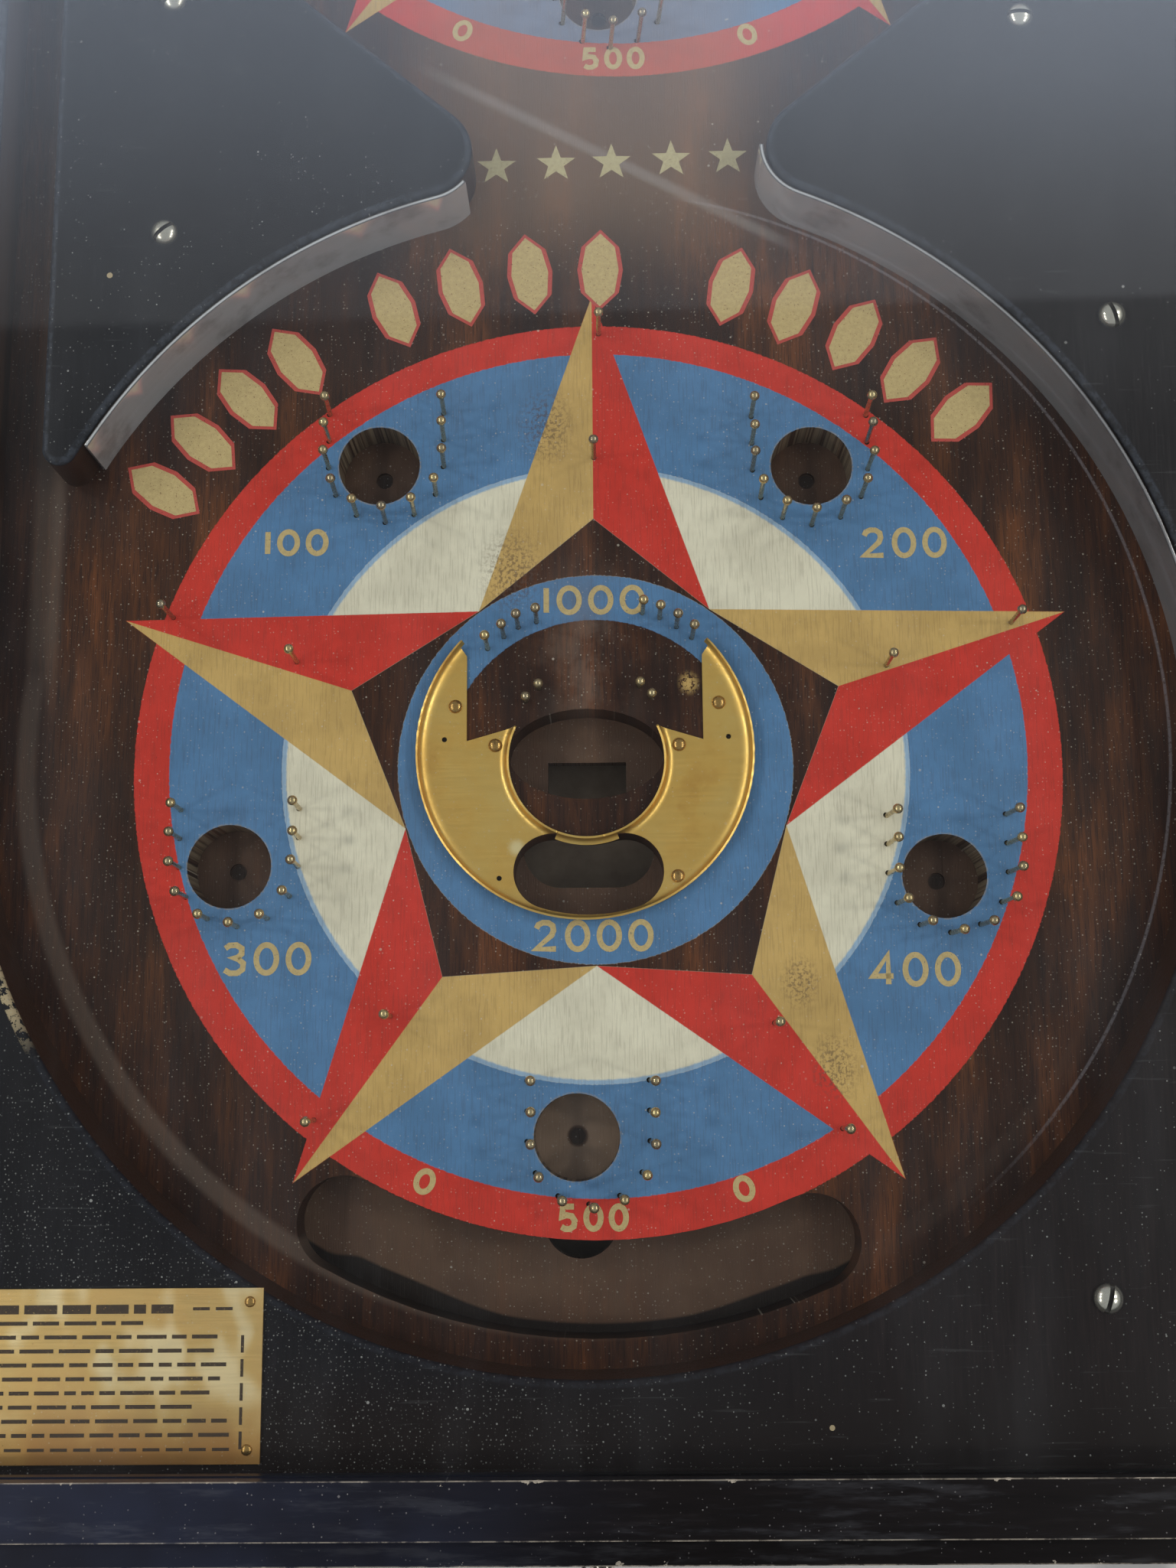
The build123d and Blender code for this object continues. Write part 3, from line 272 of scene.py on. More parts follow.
# The printed star: red, blue and cream rings, ten facets and the small ring, as measured from the centre
star = {"tip": 143.6, "inner": 57.1, "facet": 74.0, "redCentre": (0.5, 1.0), "redOuter": 133.1,
        "blueCentre": (0.6, 2.1), "redInner": 123.1, "cream": 90.0, "creamEdge": (1.6, 0.9),
        "ringOuter": 56.7, "ringInner": 43.3, "soft": 0.14}
starColours = {"red": tint(200, 56, 45), "blue": tint(84, 124, 166), "gold": tint(198, 163, 100),
               "cream": tint(222, 214, 192), "creamEdge": tint(148, 174, 200)}


def makeStarPrint():
    tree, inputs, outputs = newGroup("starPrint", {"Place": "Vector", "Wobble": "Float"},
                                     {"Color": "Color", "Paint": "Float"})
    graph = Graph(tree)
    place = inputs["Place"]
    wobble = inputs["Wobble"]
    soft = star["soft"]

    def inside(value, limit):
        return graph.step(value, limit - soft, limit + soft, 1.0, 0.0)

    def above(value):
        return graph.step(value, -soft, soft)

    # One fifth of the star, folded about the point's middle line
    x, v, _ = graph.parts(place)
    r = graph.away(place, (0.0, 0.0))
    turn = graph.calc("WRAP", graph.minus(graph.calc("ARCTAN2", v, x), pi / 2), pi / 5, -pi / 5)
    along = graph.times(r, graph.calc("COSINE", turn))
    across = graph.times(r, graph.calc("SINE", turn))
    side = graph.calc("ABSOLUTE", across)
    innerAlong = star["inner"] * cos(pi / 5)
    innerSide = star["inner"] * sin(pi / 5)
    taper = innerSide / (star["tip"] - innerAlong)
    outline = graph.minus(graph.times(graph.minus(star["tip"], along), taper), side)
    lean = (star["facet"] - innerAlong) / innerSide
    facetEdge = graph.minus(graph.plus(along, graph.times(side, lean)), star["facet"])
    inStar = above(graph.plus(outline, graph.times(wobble, 0.25)))
    facet = graph.times(inStar, above(facetEdge))

    # The rings
    red = inside(graph.plus(graph.away(place, star["redCentre"]), wobble), star["redOuter"])
    blue = inside(graph.plus(graph.away(place, star["blueCentre"]), wobble), star["redInner"])
    centred = graph.plus(r, wobble)
    cream = inside(centred, star["cream"])
    edgeStart, edgeEnd = star["creamEdge"]
    creamEdge = graph.times(cream, graph.step(centred, star["cream"] - edgeStart, star["cream"] - edgeEnd))
    ring = inside(centred, star["ringOuter"])
    middle = inside(centred, star["ringInner"])
    colour = graph.coat(starColours["red"], starColours["blue"], blue)
    colour = graph.coat(colour, starColours["cream"], cream)
    colour = graph.coat(colour, starColours["creamEdge"], creamEdge)
    colour = graph.coat(colour, graph.coat(starColours["red"], starColours["gold"], above(across)), facet)
    colour = graph.coat(colour, starColours["blue"], ring)
    bare = graph.minus(inStar, facet)
    paint = graph.times(graph.most(graph.minus(red, bare), facet, ring), graph.minus(1.0, middle))
    tree.links.new(colour, outputs["Color"])
    tree.links.new(paint, outputs["Paint"])
    return tree


starGroup = makeStarPrint()
print("node groups made")


# Walnut of the playfield and of the shutter under it
walnut = {"streaks": (0.042, 0.010, 0.05), "grain": (0.55, 0.03, 0.5), "pores": (2.3, 0.11, 2.0),
          "tones": [(0.33, tint(36, 21, 16)), (0.47, tint(51, 30, 21)), (0.57, tint(69, 40, 24)),
                    (0.68, tint(96, 55, 30))], "pore": tint(32, 21, 18)}


def walnutColour(graph, place):
    # Dark streaks along the board, finer grain and short open pores: colour, height and pores
    broad = graph.grain(place, walnut["streaks"], flat=True)
    fine = graph.grain(place, walnut["grain"], roughness=0.65, flat=True)
    pores = graph.step(graph.grain(place, walnut["pores"], 1.0, flat=True), 0.36, 0.44, 1.0, 0.0)
    tone = graph.plus(graph.times(broad, 0.72), graph.times(fine, 0.28))
    colour = graph.coat(graph.ramp(tone, walnut["tones"]), walnut["pore"], pores, 0.5)
    return colour, graph.minus(graph.times(fine, 0.4), pores), pores


def fromOwnStar(graph, place):
    # Both stars share one print: each half of the board is measured from its own star's centre
    upper = graph.calc("GREATER_THAN", graph.parts(place)[1], upperStar[1] / 2)
    shift = graph.add("VectorMath", {0: (*upperStar, 0.0), "Scale": upper}, operation="SCALE")
    return graph.add("VectorMath", {0: place, 1: shift}, operation="SUBTRACT")


# Places of wear and of painted shade on the board, in deck mm, and their colours
boardPlaces = {"pocketR": 12.0,
             "pockets": [(-63.2, 91.0), (64.5, 89.6), (-104.5, -28.1), (98.7, -32.5), (-5.9, -104.3)],
             "rubbedGold": [(-14.0, 103.0, 11.0), (-24.0, 58.0, 12.0), (66.0, -86.0, 9.0),
                            (57.0, -62.0, 7.0)],
             "smear": (27.2, 24.2), "path": (-1.5, 33.0), "marks": [(-20.0, 20.0), (15.0, 20.5)],
             "cupHoles": [(-27.5, -32.2), (-43.3, 8.0), (38.3, 8.2)],
             "trough": (0.0, 1.0), "troughR": 156.6, "troughTop": -118.0,
             "scuff": (-47.7, 217.3, -0.535),
             "lineCentre": (-4.6, 8.5), "lineR": 169.3, "laneX": -160.5,
             "rimCentre": (-2.4, 6.0), "rimR": 161.4}
boardTones = {"mottle": tint(120, 110, 100), "pore": tint(70, 52, 44), "rubbed": tint(84, 66, 58),
              "line": tint(150, 144, 150), "neck": tint(152, 118, 88), "scuff": tint(176, 170, 168),
              "dull": tint(126, 109, 98), "mark": tint(38, 22, 17), "paleRim": tint(150, 134, 112),
              "hole": tint(24, 17, 13), "troughShadow": tint(16, 10, 8), "film": tint(150, 140, 130),
              "dust": tint(200, 190, 176)}


def playfieldMaterial():
    material, graph = newMaterial("playfield")
    place = graph.deck()
    x, v, w = graph.parts(place)
    colour, height, pores = walnutColour(graph, place)
    moved = fromOwnStar(graph, place)
    patch = graph.noise(place, 0.9, 4.0, 0.7, True)
    mottled = graph.noise(place, 0.05, 5.0, 0.68, True)
    printed = graph.group(starGroup, {"Place": moved, "Wobble": graph.times(graph.minus(patch, 0.5), 0.7)})
    # The paint lies on the face alone and has small chips
    sound = graph.minus(1.0, graph.times(graph.step(patch, 0.74, 0.78), 0.6))
    paint = graph.times(printed["Paint"], graph.calc("GREATER_THAN", w, -0.15), sound)
    faded = graph.step(mottled, 0.3, 0.7, 0.0, 0.2)
    shade = graph.blend(faded, printed["Color"], boardTones["mottle"], "MULTIPLY")
    shade = graph.coat(shade, boardTones["pore"], pores, 0.16)
    colour = graph.coat(colour, shade, paint, 0.96)
    # Gold rubbed off the star's points, and a smear of it inside the ring
    rubs = [graph.spot(place, (rubX, rubV), reach, 0.7) for rubX, rubV, reach in boardPlaces["rubbedGold"]]
    rubbed = graph.times(graph.most(*rubs), graph.step(patch, 0.5, 0.56))
    colour = graph.coat(colour, boardTones["rubbed"], rubbed, 0.6)
    smear = graph.times(graph.spot(place, boardPlaces["smear"], 3.8, 0.9), graph.step(patch, 0.42, 0.5))
    colour = graph.coat(colour, starColours["gold"], smear, 0.8)
    # The thin line that balls wear round the right side
    offLine = graph.minus(graph.away(place, boardPlaces["lineCentre"]), boardPlaces["lineR"])
    line = graph.times(graph.near(offLine, 0.2, 0.65), graph.step(x, 20.0, 40.0),
                       graph.step(v, -128.0, -84.0), graph.step(patch, 0.3, 0.5, 0.25, 1.0),
                       graph.calc("LESS_THAN", v, 178.0))
    colour = graph.coat(colour, boardTones["line"], line, 0.36)
    # The neck's paler wood, and the scuff that runs across it
    neck = graph.times(graph.step(v, 140.0, 185.0), graph.step(graph.calc("ABSOLUTE", x), 70.0, 30.0))
    colour = graph.coat(colour, boardTones["neck"], neck, 0.36)
    scuffX, scuffV, rise = boardPlaces["scuff"]
    offScuff = graph.minus(v, graph.plus(graph.times(graph.minus(x, scuffX), rise), scuffV))
    scuff = graph.times(graph.near(offScuff, 0.3, 3.2), graph.step(x, -60.0, -30.0),
                        graph.step(x, 66.0, 50.0), graph.calc("GREATER_THAN", v, 120.0))
    colour = graph.coat(colour, boardTones["scuff"], scuff, 0.24)
    # Dull bands up the left lane and round the lower rim, and a dull patch inside the ring
    lane = graph.times(graph.near(graph.minus(x, boardPlaces["laneX"]), 2.5, 6.0), graph.step(v, 15.0, 45.0))
    offRim = graph.minus(graph.away(place, boardPlaces["rimCentre"]), boardPlaces["rimR"])
    rim = graph.times(graph.near(offRim, 1.5, 3.8), graph.step(v, 45.0, 15.0),
                      graph.step(x, 60.0, -90.0, 0.15, 1.0))
    path = graph.times(graph.spot(place, boardPlaces["path"], 24.0, 0.62), graph.step(mottled, 0.35, 0.62))
    dull = graph.most(lane, rim, path)
    colour = graph.coat(colour, boardTones["dull"], dull, 0.28)
    # Two dark round marks inside the ring, beside the low pins
    marks = graph.most(*[graph.spot(place, mark, 12.5) for mark in boardPlaces["marks"]])
    marks = graph.times(graph.step(marks, 0.0, 0.3), graph.step(v, 7.0, 12.0))
    colour = graph.coat(colour, boardTones["mark"], marks, 0.3)
    # Pale, patchy rims round the pockets' edges
    rims = graph.minus(graph.nearest(moved, boardPlaces["pockets"]), boardPlaces["pocketR"])
    paleRims = graph.times(graph.step(rims, 0.25, 0.5, 1.0, 0.0), graph.step(patch, 0.35, 0.6))
    colour = graph.coat(colour, boardTones["paleRim"], paleRims, 0.5)
    # Painted shade: the board is painted near black under the cup's small holes
    holes = graph.calc("LESS_THAN", graph.nearest(moved, boardPlaces["cupHoles"]), 1.3)
    colour = graph.coat(colour, boardTones["hole"], holes)
    # Painted shadow: the out trough's lower wall is painted near black for the shade that lies on it
    start = boardPlaces["troughR"]
    troughShadow = graph.step(graph.away(place, boardPlaces["trough"]), start, start + 1.6)
    troughShadow = graph.times(troughShadow, graph.calc("LESS_THAN", v, boardPlaces["troughTop"]), graph.step(w, -0.5, -1.6),
                        graph.step(x, -84.0, -70.0), graph.step(x, 74.0, 60.0))
    colour = graph.coat(colour, boardTones["troughShadow"], troughShadow, 0.85)
    colour = dusted(graph, place, colour, 0.85, (boardTones["dust"], 0.5), (boardTones["film"], 0.012))
    roughness = graph.plus(graph.step(paint, 0.0, 1.0, 0.42, 0.58), graph.times(dull, 0.2))
    graph.finish({"Base Color": colour, "Roughness": roughness, "Normal": graph.bump(height, 0.3, 0.00005),
                  "Specular IOR Level": 0.14})
    return material


# Raised panels: blue-black stain over open grain, worn at the rounded edge and with a painted highlight along
# it, dusty
panelWear = {"chippedEdge": (-157.0, -62.0), "chippedReach": 22.0,
             "chips": [(-140.0, 143.0, 1.2), (60.0, -178.0, 1.0)]}
panelTones = {"navy": [(0.3, tint(20, 21, 26)), (0.6, tint(27, 28, 34)), (0.8, tint(40, 41, 47))],
              "brown": [(0.3, tint(32, 26, 24)), (0.6, tint(47, 38, 35)), (0.8, tint(66, 56, 51))],
              "wall": [(0.3, tint(46, 30, 24)), (0.6, tint(60, 39, 29)), (0.8, tint(80, 52, 36))],
              "front": tint(33, 24, 20), "low": tint(196, 182, 192), "patch": tint(26, 23, 25),
              "rubbed": tint(84, 90, 104), "chip": tint(168, 150, 120), "scuff": tint(120, 120, 122),
              "film": tint(120, 118, 118), "dust": tint(176, 174, 172)}


def panelMaterial():
    material, graph = newMaterial("blackPanel")
    place = graph.deck()
    x, v, w = graph.parts(place)
    fine = graph.grain(place, (1.9, 0.07, 1.4), roughness=0.65)
    broad = graph.noise(place, 0.012, 4.0, 0.6)
    warmth = graph.most(graph.step(x, -60.0, 120.0, 0.0, 0.85), graph.step(v, -150.0, -188.0, 0.0, 0.5))
    warmth = graph.times(warmth, graph.step(v, 120.0, -40.0, 0.35, 1.0))
    colour = graph.coat(graph.ramp(fine, panelTones["navy"]), graph.ramp(fine, panelTones["brown"]), warmth)
    colour = graph.coat(colour, panelTones["front"], graph.step(v, -158.0, -182.0), 0.85)
    colour = graph.blend(graph.step(v, -30.0, -110.0), colour, panelTones["low"], "MULTIPLY")
    colour = graph.coat(colour, panelTones["patch"], graph.step(broad, 0.35, 0.7), 0.5)
    # The rounded edge is rubbed, and painted paler and bluer along it as a highlight
    edge = graph.add("Attribute", {}, "Fac", attribute_name="edge")
    ragged = graph.step(graph.noise(place, 0.45, 4.0, 0.7), 0.38, 0.62)
    rubbed = graph.times(graph.step(edge, 0.4, 1.0), graph.plus(0.3, ragged),
                         graph.step(v, -20.0, 60.0, 0.3, 1.0))
    colour = graph.coat(colour, panelTones["rubbed"], rubbed, 0.26)
    near = graph.spot(place, panelWear["chippedEdge"], panelWear["chippedReach"])
    chips = [graph.times(graph.step(ragged, 0.25, 0.6), near, graph.step(edge, 0.05, 0.3))]
    for chipX, chipV, reach in panelWear["chips"]:
        chips.append(graph.calc("GREATER_THAN", graph.spot(place, (chipX, chipV), reach), 0.3))
    colour = graph.coat(colour, panelTones["chip"], graph.most(*chips))
    scuffs = graph.step(graph.grain(place, (0.05, 0.9, 0.4), roughness=0.5), 0.66, 0.72)
    colour = graph.coat(colour, panelTones["scuff"], scuffs, 0.08)
    dusty = graph.times(graph.step(x, 70.0, -60.0, 0.2, 1.0), graph.step(v, -60.0, -120.0, 0.5, 2.2))
    colour = dusted(graph, place, colour, dusty, (panelTones["dust"], 0.6), (panelTones["film"], 0.012))
    # The walls below the rounding are brown stained wood, as the playfield
    colour = graph.coat(colour, graph.ramp(fine, panelTones["wall"]), graph.step(w, 17.6, 17.0))
    graph.finish({"Base Color": colour, "Roughness": graph.step(fine, 0.3, 0.8, 0.42, 0.58),
                  "Normal": graph.bump(fine, 0.2, 0.00005), "Specular IOR Level": 0.14})
    return material


# Cabinet: black lacquer, bluer on the left, with chips of pale wood along the front's upper edges
cabinetWear = {"edges": [(-187.2, 35.0), (-201.7, 35.0), (-210.0, 25.0)]}
cabinetTones = {"lacquer": [(0.3, tint(13, 11, 12)), (0.6, tint(18, 15, 16)), (0.85, tint(28, 25, 26))],
                "navy": tint(32, 37, 54), "worn": tint(150, 142, 128), "smear": tint(96, 104, 120),
                "dust": tint(150, 148, 146)}


def cabinetMaterial():
    material, graph = newMaterial("blackWood")
    place = graph.deck()
    x, v, w = graph.parts(place)
    fine = graph.grain(place, (0.05, 0.5, 0.9))
    broad = graph.noise(place, 0.02, 3.0, 0.6)
    rough = graph.noise(place, 0.13, 5.0, 0.75)
    navy = graph.times(graph.step(broad, 0.35, 0.65, 0.4, 0.9), graph.step(x, 20.0, -90.0))
    colour = graph.coat(graph.ramp(fine, cabinetTones["lacquer"]), cabinetTones["navy"], navy)
    arris = graph.least(*[graph.most(graph.calc("ABSOLUTE", graph.minus(v, edge)),
                                     graph.calc("ABSOLUTE", graph.minus(w, height)))
                          for edge, height in cabinetWear["edges"]])
    thin = graph.times(graph.step(arris, 0.15, 0.4, 1.0, 0.0), graph.step(rough, 0.4, 0.56, 0.1, 1.0))
    chip = graph.calc("LESS_THAN", arris, graph.step(rough, 0.6, 0.7, 0.0, 1.5))
    worn = graph.most(graph.times(thin, 0.6), graph.times(chip, 0.9))
    colour = graph.coat(colour, cabinetTones["worn"], worn)
    smears = graph.step(graph.grain(place, (0.03, 0.2, 0.3), 4.0, 0.7), 0.5, 0.72)
    colour = graph.coat(colour, cabinetTones["smear"], smears, 0.05)
    colour = dusted(graph, place, colour, 0.3, (cabinetTones["dust"], 0.4))
    graph.finish({"Base Color": colour, "Roughness": graph.step(smears, 0.0, 1.0, 0.32, 0.5),
                  "Normal": graph.bump(fine, 0.35, 0.0001), "Specular IOR Level": 0.35})
    return material


# Bare softwood inside and below, yellowed, with dark late wood
pineTones = {"rings": [(0.0, tint(196, 158, 108)), (0.7, tint(176, 134, 86)), (1.0, tint(138, 98, 60))],
             "stain": tint(110, 84, 58)}


def pineMaterial():
    material, graph = newMaterial("plainWood")
    place = graph.deck()
    rings = graph.grain(place, (0.25, 0.012, 0.2), roughness=0.5)
    lines = graph.calc("PINGPONG", graph.times(rings, 14.0), 1.0)
    stain = graph.step(graph.noise(place, 0.02, 5.0, 0.6), 0.4, 0.75)
    colour = graph.coat(graph.ramp(lines, pineTones["rings"]), pineTones["stain"], stain, 0.4)
    graph.finish({"Base Color": colour, "Roughness": graph.step(lines, 0.0, 1.0, 0.6, 0.75),
                  "Normal": graph.bump(lines, 0.25, 0.0001)})
    return material


# The board under the openings: dark stained wood, greyed by dust, with painted shadow along the out trough
shutterTones = {"stain": tint(92, 68, 54), "dimple": tint(26, 17, 14), "paleRound": tint(150, 126, 108),
                "film": tint(112, 90, 74), "dust": tint(176, 170, 162), "troughShadow": tint(14, 9, 8)}


def shutterMaterial():
    material, graph = newMaterial("shutterWood")
    place = graph.deck()
    x, v, _ = graph.parts(place)
    colour, height, pores = walnutColour(graph, place)
    colour = graph.blend(0.65, colour, shutterTones["stain"])
    # A dark dimple under each pocket, and paler wood round the last pocket's
    dimples = graph.nearest(fromOwnStar(graph, place), boardPlaces["pockets"])
    colour = graph.coat(colour, shutterTones["dimple"], graph.step(dimples, 1.9, 2.6, 1.0, 0.0), 0.75)
    paleRound = graph.step(graph.away(place, boardPlaces["pockets"][-1]), 15.0, 11.0)
    paleRound = graph.times(paleRound, graph.step(dimples, 2.6, 3.4))
    colour = graph.coat(colour, shutterTones["paleRound"], paleRound, 0.7)
    colour = dusted(graph, place, colour, 1.0, (shutterTones["dust"], 0.5), (shutterTones["film"], 0.3))
    # Painted shadow along the out trough's lower side, widest left and right of the middle
    wide = graph.plus(graph.step(x, -22.0, -56.0, 0.0, 3.0), graph.step(x, 22.0, 48.0, 0.0, 1.5))
    wide = graph.times(wide, graph.step(x, -77.0, -66.0), graph.step(x, 66.0, 56.0))
    reach = graph.plus(graph.away(place, boardPlaces["trough"]), wide)
    troughShadow = graph.step(reach, boardPlaces["troughR"] - 0.5, boardPlaces["troughR"] + 0.5)
    troughShadow = graph.times(troughShadow, graph.calc("LESS_THAN", v, boardPlaces["troughTop"]))
    colour = graph.coat(colour, shutterTones["troughShadow"], troughShadow, 0.93)
    graph.finish({"Base Color": colour, "Roughness": graph.step(pores, 0.0, 1.0, 0.4, 0.6),
                  "Normal": graph.bump(height, 0.4, 0.0001), "Specular IOR Level": 0.2})
    return material


# Metals: base colour, tarnish spots and their share, roughness, and how the polishing lines run
metals = {
    "steelStrip": {"colour": (226, 224, 228), "spots": (136, 126, 124), "rough": (0.1, 0.22),
                   "spotShare": 0.5, "lines": (0.03, 0.03, 0.6), "grain": 0.06, "metallic": 0.6,
                   "darkerRight": (92, 86, 92)},
    "nailBrass": {"colour": (172, 136, 80), "spots": (74, 52, 32), "rough": (0.2, 0.36), "spotShare": 0.6,
                  "lines": (0.8, 0.8, 0.8), "grain": 0.5, "metallic": 0.85},
    "brassPins": {"colour": (206, 184, 136), "spots": (112, 90, 62), "rough": (0.18, 0.34), "spotShare": 0.6,
                  "lines": (0.8, 0.8, 0.8), "grain": 0.5, "metallic": 0.85, "grey": (150, 138, 122)},
    "nickel": {"colour": (212, 206, 196), "spots": (150, 136, 114), "rough": (0.16, 0.28), "spotShare": 0.25,
               "lines": (0.3, 0.05, 0.3), "grain": 0.09, "metallic": 0.9},
    "springSteel": {"colour": (150, 150, 150), "spots": (92, 80, 68), "rough": (0.28, 0.45), "spotShare": 0.4,
                    "lines": (0.5, 0.5, 0.5), "grain": 0.5, "metallic": 0.9},
    "ballSteel": {"colour": (196, 196, 198), "spots": (150, 150, 150), "rough": (0.08, 0.2), "spotShare": 0.3,
                  "lines": (0.3, 0.3, 0.3), "grain": 0.2, "metallic": 1.0},
    "ballBrass": {"colour": (206, 170, 92), "spots": (150, 116, 60), "rough": (0.1, 0.25), "spotShare": 0.4,
                  "lines": (0.3, 0.3, 0.3), "grain": 0.2, "metallic": 1.0},
}


def metalMaterial(name):
    facts = metals[name]
    material, graph = newMaterial(name)
    place = graph.deck()
    tarnish = graph.noise(place, facts["grain"], 5.0, 0.6)
    lines = graph.grain(place, facts["lines"])
    spots = graph.step(tarnish, 0.48, 0.7)
    colour = graph.coat(tint(*facts["colour"]), tint(*facts["spots"]), spots, facts["spotShare"])
    colour = graph.blend(graph.step(lines, 0.35, 0.65, 0.0, 0.2), colour, tint(235, 232, 226), "MULTIPLY")
    if "darkerRight" in facts:
        # Darker towards the right, and painted shade along the upper edge where it meets the panel
        colour = graph.coat(colour, tint(*facts["darkerRight"]), graph.step(graph.parts(place)[0], 20.0, 150.0), 0.6)
        edge = graph.add("Attribute", {}, "Fac", attribute_name="edge")
        colour = graph.coat(colour, tint(40, 38, 40), graph.step(edge, 0.3, 0.9), 0.75)
    if "grey" in facts:
        tone = graph.add("Attribute", {}, "Fac", attribute_name="tone")
        colour = graph.coat(colour, tint(*facts["grey"]), tone)
    worn = graph.plus(graph.times(tarnish, 0.6), graph.times(lines, 0.4))
    graph.finish({"Base Color": colour, "Roughness": graph.step(worn, 0.35, 0.65, *facts["rough"]),
                  "Metallic": facts["metallic"]})
    return material


# Satin sheet brass of the cups and the plate, with brown spots and fine rolling lines, a painted highlight on
# a dent and painted reflections and shade on the plate
brassTones = {"sheet": [(0.32, tint(226, 190, 112)), (0.58, tint(216, 174, 94)), (0.78, tint(190, 144, 72))],
              "dentHighlight": tint(252, 236, 186), "cloud": tint(255, 236, 190), "brown": tint(140, 92, 44),
              "plate": tint(240, 216, 190), "plateFootShade": tint(176, 116, 48), "speck": tint(76, 52, 30),
              "dust": tint(224, 216, 196)}
brassPlaces = {"dentHighlight": (-22.5, -23.5), "plateTop": -130.0, "plateRight": -87.0}


def brassMaterial():
    material, graph = newMaterial("satinBrass")
    place = graph.deck()
    x, v, _ = graph.parts(place)
    tarnish = graph.noise(place, 0.05, 6.0, 0.6)
    lines = graph.grain(place, (0.06, 2.6, 0.3))
    colour = graph.ramp(tarnish, brassTones["sheet"])
    # Painted highlight: a small bright spot where a dent in the cup catches the light
    colour = graph.coat(colour, brassTones["dentHighlight"], graph.spot(place, brassPlaces["dentHighlight"], 3.2), 0.7)
    # The plate is paler, with painted reflections as pale clouds, and painted shade brown towards its foot
    onPlate = graph.times(graph.calc("LESS_THAN", v, brassPlaces["plateTop"]),
                          graph.calc("LESS_THAN", x, brassPlaces["plateRight"]))
    cloud = graph.grain(place, (0.06, 0.035, 0.1), 2.0, 0.5)
    pale = graph.times(graph.step(cloud, 0.5, 0.62), graph.step(v, -182.0, -164.0), onPlate)
    colour = graph.coat(colour, brassTones["cloud"], pale, 0.7)
    brown = graph.times(graph.step(cloud, 0.6, 0.42, 0.25, 1.0), graph.step(v, -164.0, -186.0, 0.2, 1.0),
                        onPlate)
    colour = graph.coat(colour, brassTones["brown"], brown, 0.75)
    colour = graph.coat(colour, brassTones["plate"], onPlate, 0.17)
    foot = graph.times(graph.step(v, -168.0, -187.0), onPlate)
    colour = graph.coat(colour, brassTones["plateFootShade"], foot, 0.55)
    specks = graph.step(graph.noise(place, 1.3, 3.0, 0.6), 0.7, 0.76)
    colour = graph.coat(colour, brassTones["speck"], specks, 0.75)
    colour = dusted(graph, place, colour, 0.7, (brassTones["dust"], 0.5))
    worn = graph.plus(graph.times(tarnish, 0.5), graph.times(lines, 0.5))
    graph.finish({"Base Color": colour, "Roughness": graph.step(worn, 0.35, 0.65, 0.3, 0.46),
                  "Normal": graph.bump(lines, 0.08, 0.00003), "Metallic": 0.85})
    return material


def darkMaterial(name, colour, pale, rough, scale):
    # Lacquer, rubber, the return tray's wood painted paler as light, and the screw slots' painted shade: fine
    # mottling and rubbed high spots
    material, graph = newMaterial(name)
    grain = graph.noise(graph.deck(), scale, 5.0, 0.65)
    shade = graph.ramp(grain, [(0.35, tint(*colour)), (0.8, tint(*pale))])
    graph.finish({"Base Color": shade, "Roughness": graph.step(grain, 0.3, 0.7, rough, rough + 0.18),
                  "Normal": graph.bump(grain, 0.2, 0.0001)})
    return material


def printMaterial(name, colour, share):
    # Thin printing that lets the ground through where it has worn
    material, graph = newMaterial(name)
    place = graph.deck()
    patch = graph.noise(place, 0.8, 5.0, 0.7)
    shade = graph.coat(tint(*colour), tint(110, 84, 62), graph.step(patch, 0.3, 0.7), 0.25)
    left = graph.step(graph.noise(place, 1.7, 3.0, 0.7), 0.62, 0.68, share, share * 0.35)
    graph.finish({"Base Color": shade, "Roughness": graph.step(patch, 0.3, 0.7, 0.5, 0.7), "Alpha": left})
    return material


def glassMaterial():
    # Clear plate glass as a thin sheet: the scene shows through, the surroundings shine on it
    material, graph = newMaterial("clearGlass")
    place = graph.deck()
    smear = graph.noise(place, 0.018, 5.0, 0.6)
    roughness = graph.step(smear, 0.35, 0.7, 0.015, 0.05)
    shine = graph.add("BsdfGlossy", {"Color": tint(250, 252, 255), "Roughness": roughness})
    through = graph.add("BsdfTransparent", {"Color": tint(250, 252, 251)})
    # The pane bends no light, so that its Fresnel has to be the same from both sides
    back = graph.add("NewGeometry", {}, "Backfacing")
    rim = graph.add("Fresnel", {"IOR": graph.step(back, 0.0, 1.0, 1.5, 1 / 1.5)})
    sheet = graph.add("MixShader", {0: rim, 1: through, 2: shine})
    haze = graph.add("BsdfDiffuse", {"Color": tint(200, 205, 212)})
    dirty = graph.step(graph.grain(place, (0.03, 0.008, 1.0), 4.0, 0.65, True), 0.4, 0.8, 0.002, 0.008)
    graph.surface(graph.add("MixShader", {0: dirty, 1: sheet, 2: haze}))
    return material


# The record's material slots, and materials for pieces whose finish differs from their slot's
materials = {
    "black_wood": cabinetMaterial(), "black_panel": panelMaterial(), "plain_wood": pineMaterial(),
    "walnut": playfieldMaterial(), "steel_strip": metalMaterial("steelStrip"), "brass": brassMaterial(),
    "nickel": metalMaterial("nickel"), "spring_steel": metalMaterial("springSteel"),
    "black_knob": darkMaterial("knobLacquer", (16, 15, 15), (44, 40, 38), 0.2, 0.2),
    "rubber": darkMaterial("footRubber", (24, 23, 22), (52, 50, 48), 0.62, 0.6),
    "ball_steel": metalMaterial("ballSteel"), "ball_brass": metalMaterial("ballBrass"),
    "glass": glassMaterial(),
}
